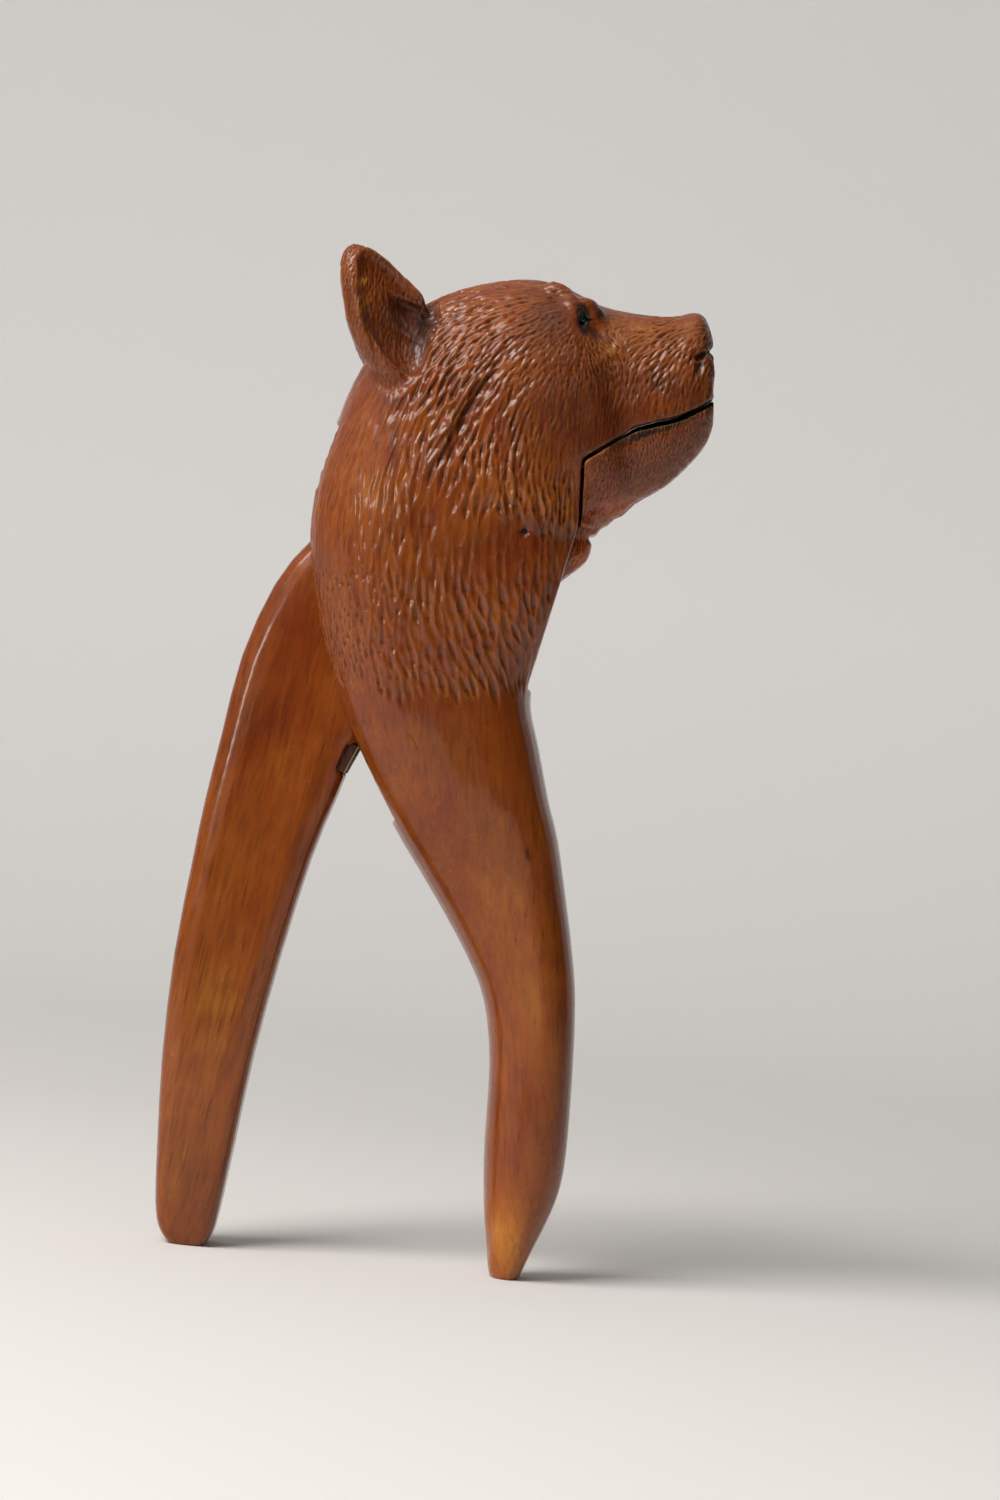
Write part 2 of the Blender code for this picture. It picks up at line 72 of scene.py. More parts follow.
def side_view(spots):
    """Pixels at which the camera sees places of the tool, and their reach out from its middle."""
    east, up = spots[:, 0] - PIN.x, spots[:, 2] - PIN.z
    across = east * math.cos(LEAN) + up * math.sin(LEAN)
    rise = up * math.cos(LEAN) - east * math.sin(LEAN)
    reach = np.abs(spots[:, 1])
    nearness = VIEW_DISTANCE / (VIEW_DISTANCE - reach) / METRES_PER_PX
    middle_across = (VIEW_CENTRE_PX[0] - PIN_PX[0]) * METRES_PER_PX
    middle_rise = (PIN_PX[1] - VIEW_CENTRE_PX[1]) * METRES_PER_PX
    px = VIEW_CENTRE_PX[0] + (across - middle_across) * nearness
    py = VIEW_CENTRE_PX[1] - (rise - middle_rise) * nearness
    return px, py, reach


def solid_shape(node):
    """A CAD solid as a shape of its own, its points joined."""
    shape = bmesh.new()
    shape.from_mesh(frame["nodes"][node].data)
    bmesh.ops.remove_doubles(shape, verts=shape.verts, dist=1e-6)
    return shape


def mesh_of(shape, name):
    """A new mesh of a shape, which is then let go."""
    mesh = bpy.data.meshes.new(name)
    shape.to_mesh(mesh)
    shape.free()
    return mesh


def placed(name, data):
    """A new object in the scene."""
    thing = bpy.data.objects.new(name, data)
    bpy.context.scene.collection.objects.link(thing)
    return thing


def through_modifiers(mesh, *modifiers):
    """The mesh that comes out of some modifiers, each given as its kind and its settings."""
    blank = placed(f"{mesh.name}_blank", mesh)
    for kind, settings in modifiers:
        modifier = blank.modifiers.new(kind.lower(), kind)
        for key, value in settings.items():
            setattr(modifier, key, value)
    bpy.context.view_layer.update()
    changed = bpy.data.meshes.new_from_object(blank.evaluated_get(bpy.context.evaluated_depsgraph_get()))
    bpy.data.objects.remove(blank)
    return changed


def even_skin(node, size):
    """A CAD solid's copy, remeshed to even faces with its edges eased."""
    blank = mesh_of(solid_shape(node), f"{node}_skin")
    return through_modifiers(blank, ("REMESH", {"mode": "VOXEL", "voxel_size": size}),
                             ("SMOOTH", {"factor": 0.5, "iterations": 2}))


def read_skin(mesh):
    """Places and outward directions of a skin's points."""
    count = len(mesh.vertices)
    spots, out = np.empty(count * 3), np.empty(count * 3)
    mesh.vertices.foreach_get("co", spots)
    mesh.vertex_normals.foreach_get("vector", out)
    return spots.reshape(-1, 3), out.reshape(-1, 3)


def move_skin(mesh, spots):
    mesh.vertices.foreach_set("co", spots.astype(np.float32).ravel())
    mesh.update()


def links_of(mesh):
    """The two ends of each edge of a skin, and how many edges meet at each of its points."""
    ends = np.empty(len(mesh.edges) * 2, np.int64)
    mesh.edges.foreach_get("vertices", ends)
    first, second = ends.reshape(-1, 2).T
    points = len(mesh.vertices)
    return first, second, np.bincount(first, minlength=points) + np.bincount(second, minlength=points)


def mean_around(links, values):
    """The mean of some values at each point's neighbours."""
    first, second, meeting = links
    points = len(meeting)
    columns = values.reshape(points, -1).T
    total = [np.bincount(first, column[second], points) + np.bincount(second, column[first], points)
             for column in columns]
    return (np.stack(total, 1) / meeting[:, None]).reshape(values.shape)


def creases(mesh, spots, out):
    """How sharply a skin is hollowed, above nought, or ridged, below it, at each of its points."""
    links = links_of(mesh)
    first, second, meeting = links
    pull = mean_around(links, spots) - spots
    span = np.linalg.norm(spots[first] - spots[second], axis=1)
    size = (np.bincount(first, span, len(spots)) + np.bincount(second, span, len(spots))) / meeting
    bend = (pull * out).sum(1) / size ** 2
    bend = 0.5 * (bend + mean_around(links, bend))
    return np.clip(bend / SHARP_BEND, -1, 1)


def note_on_skin(mesh, **notes):
    """Keeps some numbers for each point of a skin, for its material."""
    for name, values in notes.items():
        layer = mesh.attributes.new(name, "FLOAT", "POINT")
        layer.data.foreach_set("value", values.astype(np.float32))


def halve_faces(mesh, wanted):
    """Splits each face of the wanted points in four, and eases the new points."""
    shape = bmesh.new()
    shape.from_mesh(mesh)
    shape.verts.ensure_lookup_table()
    edges = [e for e in shape.edges if wanted[e.verts[0].index] and wanted[e.verts[1].index]]
    bmesh.ops.subdivide_edges(shape, edges=edges, cuts=1, use_grid_fill=True)
    fine = [v for v in shape.verts if all(e.calc_length() < FINE_EDGE for e in v.link_edges)]
    bmesh.ops.smooth_vert(shape, verts=fine, factor=0.5, use_axis_x=True, use_axis_y=True, use_axis_z=True)
    shape.to_mesh(mesh)
    shape.free()


def mound(px, py, oval):
    """A soft oval weight in the side view: place, half length, half breadth and slope in degrees."""
    middle_x, middle_y, half_length, half_breadth, slope = oval
    east, up = px - middle_x, middle_y - py
    c, s = math.cos(math.radians(slope)), math.sin(math.radians(slope))
    along = (east * c + up * s) / half_length
    across = (up * c - east * s) / half_breadth
    return np.exp(-(along ** 2 + across ** 2))


def inside(px, py, outline):
    """True where a pixel lies inside an outline of pixels."""
    found = np.zeros(len(px), bool)
    for (ax, ay), (bx, by) in zip(outline, outline[1:] + outline[:1]):
        if ay == by:
            continue
        level = (ay > py) != (by > py)
        found ^= level & (px < ax + (py - ay) * (bx - ax) / (by - ay))
    return found


def ramp(values, start, end):
    return np.clip((values - start) / (end - start), 0, 1)


def above_line(px, py, line):
    """How many pixels each place lies above a line of the side view."""
    line_x, line_y = np.array(line, float).T
    return np.interp(px, line_x, line_y) - py


def raised(px, py, forms, share):
    """How far a table's broad forms raise a skin."""
    return sum(mound(px, py, oval) * height for oval, height in forms) * MM * share


def toned(px, py, tones):
    """How much lighter, and how much more golden, a table makes each place."""
    return sum(mound(px, py, oval)[:, None] * (lighter, golden) for oval, lighter, golden in tones)


# Lay of the coat: pixel, direction the hair points in degrees, and stroke breadth, length, depth in mm
COAT = [
    (500, 286, 184, 1.1, 5, 0.33), (550, 288, 186, 1, 4, 0.24), (455, 300, 205, 1.1, 5, 0.45),
    (438, 332, 226, 1.2, 6, 0.63), (480, 322, 214, 1.1, 5.5, 0.63), (520, 325, 212, 1, 5, 0.45),
    (552, 335, 222, 0.9, 3.5, 0.18), (450, 362, 232, 1.3, 6.5, 0.75), (490, 362, 230, 1.1, 5.5, 0.57),
    (530, 370, 236, 0.9, 4, 0.27), (432, 395, 240, 1.7, 8, 0.99), (465, 398, 240, 1.8, 9, 1.08),
    (500, 400, 246, 1.2, 7, 0.51), (545, 400, 250, 0.8, 5, 0.11), (440, 432, 246, 1.8, 10, 0.9),
    (475, 440, 254, 1.7, 9, 0.9), (510, 450, 262, 1.3, 7, 0.57), (550, 450, 262, 0.8, 5, 0.13),
    (480, 480, 262, 1.7, 8, 0.6), (520, 492, 270, 1.5, 7, 0.6), (556, 502, 272, 1.3, 6, 0.5),
    (590, 400, 258, 0.7, 5, 0.11), (590, 445, 262, 0.7, 5, 0.1), (632, 420, 262, 0.7, 5, 0.1),
    (640, 384, 252, 0.8, 4.5, 0.3), (682, 392, 264, 0.7, 4, 0.2), (612, 345, 324, 0.6, 2.2, 0.3),
    (600, 362, 298, 0.6, 2.4, 0.3), (585, 366, 268, 0.7, 2.6, 0.27), (568, 356, 248, 0.7, 3, 0.21),
    (640, 345, 214, 0.8, 4.5, 0.42), (670, 336, 222, 0.9, 4.5, 0.51), (660, 364, 234, 0.9, 4.5, 0.54),
    (690, 350, 238, 0.8, 3.5, 0.42), (690, 372, 250, 0.7, 3.5, 0.3), (640, 320, 190, 0.7, 3, 0.15),
    (690, 322, 202, 0.7, 3, 0.15), (605, 318, 200, 0.7, 2.5, 0.12), (365, 402, 246, 1.4, 8, 0.13),
    (345, 452, 252, 1.3, 9, 0.14), (330, 520, 262, 1.3, 9, 0.14), (390, 450, 258, 1.5, 9, 0.17),
    (410, 420, 250, 1.6, 9, 0.28), (380, 520, 264, 1.5, 9, 0.19), (430, 490, 256, 2.2, 12, 0.45),
    (440, 540, 264, 2.2, 12, 0.45), (480, 542, 266, 2.3, 12, 0.32), (520, 548, 270, 2.3, 12, 0.22),
    (556, 548, 276, 1.7, 9, 0.3), (335, 600, 268, 1.2, 4.5, 0.24), (342, 660, 274, 1.1, 4, 0.3),
    (380, 600, 268, 1.4, 6, 0.28), (390, 660, 277, 1.4, 6, 0.35), (430, 600, 272, 1.9, 9, 0.48),
    (430, 650, 283, 1.8, 8, 0.5), (470, 590, 278, 2, 9, 0.56), (480, 640, 290, 1.9, 9, 0.58),
    (520, 600, 285, 1.9, 9, 0.56), (520, 655, 298, 1.8, 9, 0.5), (545, 580, 280, 1.8, 8, 0.45),
]
LAY_REACH_PX = 20
COAT_CLOSENESS = (0.38, 0.74)
EAR_OUTLINE = [(437, 290), (405, 250), (358, 240), (338, 268), (336, 330), (360, 374), (394, 400), (412, 392),
               (430, 350), (440, 312)]
EAR_REACH = 0.0062
EAR_COAT = (76, 0.7, 3.8, 0.2)


def lay_of_coat(px, py):
    """Hair direction, stroke breadth, length and depth at each pixel, blended from the table."""
    rows = np.array(COAT, float)
    weight = np.zeros((len(px), len(rows)))
    for k, (x, y) in enumerate(rows[:, :2]):
        gap = ((px - x) ** 2 + (py - y) ** 2) / LAY_REACH_PX ** 2
        weight[:, k] = 1 / (gap + 0.25) ** 2
    weight /= weight.sum(1, keepdims=True)
    angle = np.radians(rows[:, 2])
    turn = np.arctan2(weight @ np.sin(angle), weight @ np.cos(angle))
    breadth, length, depth = [weight @ (rows[:, k] * MM) for k in (3, 4, 5)]
    return turn, breadth, length, depth


def lie_on_skin(turn, out):
    """Hair directions of the side view laid down on the skin, and the directions across them."""
    upright = turn + LEAN
    hair = np.stack((np.cos(upright), np.zeros_like(turn), np.sin(upright)), 1)
    hair -= out * (hair * out).sum(1, keepdims=True)
    hair /= np.linalg.norm(hair, axis=1, keepdims=True) + 1e-9
    return hair, np.cross(out, hair)


def spread_strokes(spots, hair, across, breadth, length, wanted, rng, closeness, tries):
    """Points at which strokes are cut, each clear of its neighbours by a share of its size."""
    cell = 0.004
    taken = {}
    kept = []
    choice = rng.permutation(np.flatnonzero(wanted))[:tries]
    homes = np.floor(spots / cell).astype(int)
    for k in choice:
        x, y, z = homes[k]
        near = [m for i in (x - 1, x, x + 1) for j in (y - 1, y, y + 1) for h in (z - 1, z, z + 1)
                for m in taken.get((i, j, h), ())]
        if near:
            gap = spots[near] - spots[k]
            off = (gap @ hair[k] / (closeness[0] * length[k])) ** 2
            off += (gap @ across[k] / (closeness[1] * breadth[k])) ** 2
            if off.min() < 1:
                continue
        taken.setdefault((x, y, z), []).append(k)
        kept.append(k)
    return kept


STROKE_HEEL = 0.35
STROKE_LENGTHS = (0.75, 1.3)
STROKE_BREADTHS = (0.85, 1.3)
STROKE_DEPTHS = (0.55, 1.3)
STROKE_SWAY_DEGREES = 5
STROKE_TILT = 0.45
STROKE_SAME_SIDE = 0.35
TUFT_SHIFT = 40


def cut_strokes(spots, out, hair, across, strokes, rng):
    """Depth of the overlapping gouge strokes, and each point's place across and along its own.

    A stroke sinks slowly from its start, is deepest near its heel and runs out in a point.
    """
    tree = kdtree.KDTree(len(spots))
    for k, spot in enumerate(spots):
        tree.insert(spot, k)
    tree.balance()
    cut, beside, beyond, tuft = np.zeros((4, len(spots)))
    for k, broad, long, deep in strokes:
        half_length = long / 2 * rng.uniform(*STROKE_LENGTHS)
        half_breadth = broad / 2 * rng.uniform(*STROKE_BREADTHS)
        deep = deep * rng.uniform(*STROKE_DEPTHS)
        sway = math.radians(rng.normal(0, STROKE_SWAY_DEGREES))
        tilt = rng.uniform(-STROKE_TILT, STROKE_TILT)
        mark = rng.uniform(0, 1)
        near = np.array([hit[1] for hit in tree.find_range(spots[k], half_length)])
        near = near[out[near] @ out[k] > STROKE_SAME_SIDE]
        gap = spots[near] - spots[k]
        along, aside = gap @ hair[k], gap @ across[k]
        drift = (hair[near] @ across[k]) * along / 2 + sway * along
        run = along / half_length
        sink = ramp(run, -1, STROKE_HEEL)
        heel = ramp(run, 1, STROKE_HEEL)
        track = half_breadth * np.maximum(sink ** 0.5 * heel ** 0.6, 0.2)
        off = (aside - drift) / track
        bowl = np.clip(1 - off ** 2, 0, None) * (1 + tilt * off)
        here = deep * bowl * sink ** 0.9 * heel ** 0.8
        deeper = here > cut[near]
        won = near[deeper]
        cut[won] = here[deeper]
        beside[won], beyond[won], tuft[won] = (aside - drift)[deeper], along[deeper], mark
    return cut, beside, beyond, tuft


def carve_coat(mesh, hair, across, strokes, carved, rng):
    """Cuts the strokes into a skin, and notes on it for its material how they run and bend it."""
    spots, out = read_skin(mesh)
    cut, beside, beyond, tuft = cut_strokes(spots, out, hair, across, strokes, rng)
    move_skin(mesh, spots - out * (cut * carved)[:, None])
    spots, out = read_skin(mesh)
    note_on_skin(mesh, crease=creases(mesh, spots, out), carved=carved, tuft=tuft,
                 hair_across=beside / MM + tuft * TUFT_SHIFT, hair_along=beyond / MM)
    return out


# Broad forms: oval in the side view, and the height in mm to which it is raised
HEAD_FORMS = [
    ((572, 309, 17, 4.5, -72), 0.32), ((598, 330, 9, 5, -60), -0.45), ((614, 350, 26, 5, 40), 0.3),
    ((500, 1220, 46, 5, 78), 0.35), ((518, 1140, 40, 5, 82), 0.3), ((640, 402, 50, 10, 22), 0.25),
    ((690, 385, 14, 18, 0), 0.3), ((474, 405, 50, 6, 60), -0.8), ((450, 425, 50, 9, 63), 0.6),
    ((430, 385, 26, 6, 62), 0.45), ((500, 345, 40, 26, 20), 0.25), ((440, 470, 40, 30, 70), 0.25),
]
ROUND_FORMS = [
    ((702, 355, 8, 3.6, 25), -1.5), ((700, 366, 8, 2.6, 70), -0.6), ((696, 318, 9, 6, -10), 0.35),
    ((712, 352, 5, 3, 20), -0.7), ((709, 372, 7, 9, 90), 0.25), ((558, 291, 15, 9, -26), -0.8),
    ((338, 416, 12, 4, 75), -0.15),
]
EAR_FORMS = [
    ((384, 318, 42, 15, 108), 1.2), ((418, 312, 22, 10, -22), -1.9), ((404, 297, 16, 3, -20), 0.55),
    ((408, 337, 12, 3, -28), 0.45), ((366, 318, 40, 3, 104), -0.5),
]
EAR_TRIM_OVAL = (410, 266, 40, 22, -38)
EAR_TRIM = (-0.00075, 0.0013)
TUFT_EDGE = [(425, 478), (468, 496), (486, 497), (505, 511), (518, 505), (530, 523), (545, 524), (560, 529),
             (580, 531)]
TUFT_EDGE_DROP = 0.00045
TUFT_BREADTH_PX = 13
TUFT_TIP_PX = 8
TUFT_SWAY_PX = 9
TUFT_EDGE_PX = 9
RUFF_FROM_PX = (465, 505)
RUFF_ABOVE_PX = (-70, -10)
PALATE_RISE = 0.001
PALATE_HALF_WIDTH = 0.0072
PALATE_PX = (668, 688)
PALATE_STEP_PX = 620
PALATE_ABOVE_PY = (430, 480)
MOUTH_CORNER_PX = (572, 578, 592, 606)
SCORE_MARKS = [
    ((500, 404), (470, 450), 3.2, 0.95), ((478, 392), (452, 436), 2.6, 0.9),
    ((440, 376), (428, 404), 2, 0.75), ((452, 408), (440, 428), 1.8, 0.6),
    ((492, 432), (481, 462), 1.6, 0.6), ((470, 436), (462, 486), 1.6, 0.6),
    ((500, 468), (508, 508), 1.7, 0.7), ((517, 470), (520, 503), 1.5, 0.6),
    ((532, 474), (542, 520), 1.7, 0.65), ((556, 480), (566, 526), 1.4, 0.55),
    ((476, 470), (478, 496), 1.5, 0.5),
]
BORE_EDGE = 0.0009
BORE_DRAW = 0.00024
BORE_DRAW_REACH_SHARE = 0.7
BARE_ROUND_PIN = (0.0013, 0.003)

# Lids: middle of their opening from the bead's in px, its half breadth and half height in degrees
# round the bead, its lean, and their own thickness and reach
LID_OPENING_PX = (-0.4, 4.0)
LID_OPENING_DEGREES = (20, 48)
LID_LEAN_DEGREES = 12
LID_THICKNESS = 0.00024
LID_REACH = 0.0017
SOCKET_ROOM = 0.00012
LID_STEPS = 24
LID_EASINGS = 8

# The glass and the lids face outwards, upwards and forwards, and are pressed flatter that way
EYE_FACING = (0.42, 0.8, 0.42)
EYE_FLAT_FROM = 0.0007
EYE_FLATNESS = 0.65
EYE_FLAT_REACH = 0.0032


def eye_bead(side):
    """Middle and radius of an eye's glass bead."""
    low, high = [np.array(corner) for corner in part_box(f"glass_eye_{side}")]
    return (low + high) / 2, (high[0] - low[0]) / 2


def way_from_eye(way, bead):
    """A direction at an eye, turned to the eye's own side."""
    turned = np.array((way[0], math.copysign(way[1], bead[1]), way[2]))
    return turned / np.linalg.norm(turned)


def press_flatter(spots, bead):
    """Presses in what stands out at the front of an eye, glass and lids alike."""
    facing = way_from_eye(EYE_FACING, bead)
    height = (spots - bead) @ facing
    aside = np.linalg.norm(spots - bead - height[:, None] * facing, axis=1)
    press = EYE_FLATNESS * np.clip(height - EYE_FLAT_FROM, 0, None) * np.exp(-(aside / EYE_FLAT_REACH) ** 2)
    return spots - press[:, None] * facing


def draw_lids(mesh, bead, radius):
    """Draws the rim of an eye's round socket over its bead, as two lids with an upright opening."""
    spots, out = read_skin(mesh)
    right = np.array((math.cos(LEAN), 0, math.sin(LEAN)))
    up = np.array((-math.sin(LEAN), 0, math.cos(LEAN)))
    gaze = (right * LID_OPENING_PX[0] - up * LID_OPENING_PX[1]) * METRES_PER_PX
    gaze[1] = math.copysign(math.sqrt(radius ** 2 - gaze @ gaze), bead[1])
    gaze /= radius
    right = right - gaze * (right @ gaze)
    right /= np.linalg.norm(right)
    up = np.cross(right, gaze) * -math.copysign(1, bead[1])
    away = np.linalg.norm(spots - bead, axis=1)
    ways = (spots - bead) / away[:, None]
    angle = np.arccos(np.clip(ways @ gaze, -1, 1))
    around = np.arctan2(ways @ up, ways @ right)
    facing = (ways * out).sum(1)
    socket = radius + SOCKET_ROOM
    wall = (away < socket + LID_THICKNESS / 2) & (facing < -0.2)
    step = 2 * math.pi / LID_STEPS
    rim_turns = np.arange(LID_STEPS) * step
    rim = [angle[wall & (np.abs((around - turn + math.pi) % (2 * math.pi) - math.pi) < step)].min()
           for turn in rim_turns]
    rim = np.array([np.mean(np.take(rim, (k - 1, k, k + 1), mode="wrap")) for k in range(LID_STEPS)])
    rim_here = np.interp(around, rim_turns, rim, period=2 * math.pi)
    turned = around - math.radians(LID_LEAN_DEGREES)
    half_breadth, half_height = np.radians(LID_OPENING_DEGREES)
    opening = 1 / np.hypot(np.cos(turned) / half_breadth, np.sin(turned) / half_height)
    beyond = np.clip(angle - rim_here, 0, None)
    pull = np.exp(-(np.hypot(away - socket, socket * beyond) / LID_REACH) ** 2)
    skin_share = np.where(away > socket + 1.5 * LID_THICKNESS, 1, ramp(facing, -0.5, 0.3))
    wall_angle = opening + beyond * (math.pi - opening) / (math.pi - rim_here)
    angle += (wall_angle - angle) * (1 - skin_share) - (rim_here - opening) * pull * skin_share
    away += (socket - away) * (1 - skin_share) + (socket + LID_THICKNESS - away) * pull * skin_share
    round_way = np.cos(around)[:, None] * right + np.sin(around)[:, None] * up
    drawn = bead + away[:, None] * (np.cos(angle)[:, None] * gaze + np.sin(angle)[:, None] * round_way)
    near = np.linalg.norm(spots - bead, axis=1) < radius + 3 * LID_REACH
    spots[near] = drawn[near]
    links = links_of(mesh)
    ease = (np.clip(3 * pull, 0, 0.5) * near)[:, None]
    for again in range(LID_EASINGS):
        spots += (mean_around(links, spots) - spots) * ease
    away = np.linalg.norm(spots - bead, axis=1)
    clear = radius + SOCKET_ROOM / 2
    too_near = away < clear
    spots[too_near] = bead + (spots - bead)[too_near] * (clear / away[too_near])[:, None]
    move_skin(mesh, press_flatter(spots, bead))


def gap_rise(px):
    """Where along the mouth its gap is stepped up in the middle, so that no light shows through it."""
    start, back, front, end = MOUTH_CORNER_PX
    return ramp(px, *PALATE_PX) + ramp(px, start, back) * ramp(px, end, front)


head_skin = even_skin("head_lever", HEAD_SKIN_SIZE)
head_spots, head_out = read_skin(head_skin)
px, py, reach = side_view(head_spots)
halve_faces(head_skin, (py < FUR_FOOT_PY[0]) & ((reach > CHEEK_FACE + SLOT_MARGIN) | (py < SLOT_TOP_PY[0])))
for side in ("right", "left"):
    bead, bead_radius = eye_bead(side)
    head_spots, head_out = read_skin(head_skin)
    halve_faces(head_skin, np.linalg.norm(head_spots - bead, axis=1) < bead_radius + LID_REACH)
    draw_lids(head_skin, bead, bead_radius)
head_spots, head_out = read_skin(head_skin)
px, py, reach = side_view(head_spots)
outward = head_out[:, 1] * np.sign(head_spots[:, 1])
on_ear = inside(px, py, EAR_OUTLINE) & (reach > EAR_REACH)
on_cheek = reach > CHEEK_FACE

side_faced = np.clip(outward * 2.5, 0, 1) * ~on_ear
lift = raised(px, py, HEAD_FORMS, side_faced) + raised(px, py, ROUND_FORMS, ~on_ear)
lift += raised(px, py, EAR_FORMS, on_ear * np.clip(outward * 1.6, 0, 1))
scallops = np.abs(np.sin(px * math.pi / TUFT_BREADTH_PX + np.sin(px / TUFT_SWAY_PX))) * TUFT_TIP_PX
above_edge = above_line(px, py, TUFT_EDGE) + scallops - TUFT_TIP_PX / 2
on_ruff = ramp(px, *RUFF_FROM_PX) * ramp(above_edge, *RUFF_ABOVE_PX) * side_faced
lift -= TUFT_EDGE_DROP * on_ruff * ramp(-above_edge, -TUFT_EDGE_PX, TUFT_EDGE_PX) * on_cheek
head_spots += head_out * lift[:, None]
from_pin = np.hypot(head_spots[:, 0] - PIN.x, head_spots[:, 2] - PIN.z)
trim = mound(px, py, EAR_TRIM_OVAL) * on_ear
head_spots[:, 0] += trim * (EAR_TRIM[0] * math.cos(LEAN) + EAR_TRIM[1] * math.sin(LEAN))
head_spots[:, 2] += trim * (EAR_TRIM[0] * math.sin(LEAN) - EAR_TRIM[1] * math.cos(LEAN))
round_bore = np.exp(-((from_pin - BORE_EDGE) / (BORE_EDGE * BORE_DRAW_REACH_SHARE)) ** 2)
draw_in = BORE_DRAW * round_bore * on_cheek / from_pin
head_spots[:, 0] -= (head_spots[:, 0] - PIN.x) * draw_in
head_spots[:, 2] -= (head_spots[:, 2] - PIN.z) * draw_in
palate = (head_out[:, 2] < -0.5) * gap_rise(px) * (py < np.where(px > PALATE_STEP_PX, *PALATE_ABOVE_PY))
head_spots[:, 2] += PALATE_RISE * palate * np.clip(1 - (reach / PALATE_HALF_WIDTH) ** 2, 0, 1)
move_skin(head_skin, head_spots)
head_spots, head_out = read_skin(head_skin)

LIP_BARE_PX = (1.5, 8)
NECK_FRONT_BARE_PX = (1, 6)
LIP = [(579, 466), (622, 440), (650, 429), (675, 421), (702, 408), (720, 398)]
NECK_FRONT = [(466, 579), (530, 578), (583, 562), (690, 528)]
EYE_SURROUND = (584, 318, 13, 16, 0)
CARVING_END = [(320, 672), (356, 684), (400, 694), (438, 682), (463, 688), (500, 682), (540, 676)]


def carved_share(px, py, reach, out, outward):
    """How fully the coat is carved: none on sawn faces, in the slot and in the mouth."""
    share = np.where(px > LIP[0][0], ramp(above_line(px, py, LIP), *LIP_BARE_PX), 1)
    front_y, front_x = np.array(NECK_FRONT, float).T
    behind_front = np.interp(py, front_y, front_x) - px
    share *= np.where(py > LIP[0][1], ramp(behind_front, *NECK_FRONT_BARE_PX), 1)
    share *= ramp(outward, -0.25, 0)
    share *= ~((reach < CHEEK_FACE + SLOT_MARGIN) & (py > SLOT_TOP_PY[1]))
    share *= ~((out[:, 2] < -0.5) & (px > LIP[0][0]))
    share *= 1 - 0.95 * np.clip(1.6 * mound(px, py, EYE_SURROUND), 0, 1)
    return share * ramp(py, FUR_FOOT_PY[1], FUR_FOOT_PY[0])


CARVER_SEED = 7
HEAD_TRIES = 60000
CARVED_ENOUGH = 0.15
SCORE_LENGTH_SHARE = 1.15
rng = np.random.default_rng(CARVER_SEED)
turn, breadth, length, depth = lay_of_coat(px, py)
turn[on_ear] = math.radians(EAR_COAT[0])
for values, value in zip((breadth, length, depth), EAR_COAT[1:]):
    values[on_ear] = value * MM
hair, across = lie_on_skin(turn, head_out)
carved = carved_share(px, py, reach, head_out, outward)
carved *= np.where(on_cheek, ramp(from_pin, *BARE_ROUND_PIN), 1)
wanted = (carved > CARVED_ENOUGH) & (above_line(px, py, CARVING_END) > 0)
kept = spread_strokes(head_spots, hair, across, breadth, length, wanted, rng, COAT_CLOSENESS, HEAD_TRIES)
strokes = [(k, breadth[k], length[k], depth[k]) for k in kept]
for side in (-1, 1):
    flank = np.flatnonzero((head_spots[:, 1] * side > 0) & (outward > 0.2) & ~on_ear)
    for (ax, ay), (bx, by), broad, deep in SCORE_MARKS:
        middle = np.hypot(px[flank] - (ax + bx) / 2, py[flank] - (ay + by) / 2)
        k = flank[middle.argmin()]
        across_way = math.atan2(ay - by, bx - ax)
        hair[k], across[k] = [way[0] for way in lie_on_skin(np.array([across_way]), head_out[k:k + 1])]
        long = math.hypot(bx - ax, by - ay) * METRES_PER_PX * SCORE_LENGTH_SHARE
        strokes.append((k, broad * MM, long, deep * MM))
head_out = carve_coat(head_skin, hair, across, strokes, carved, rng)

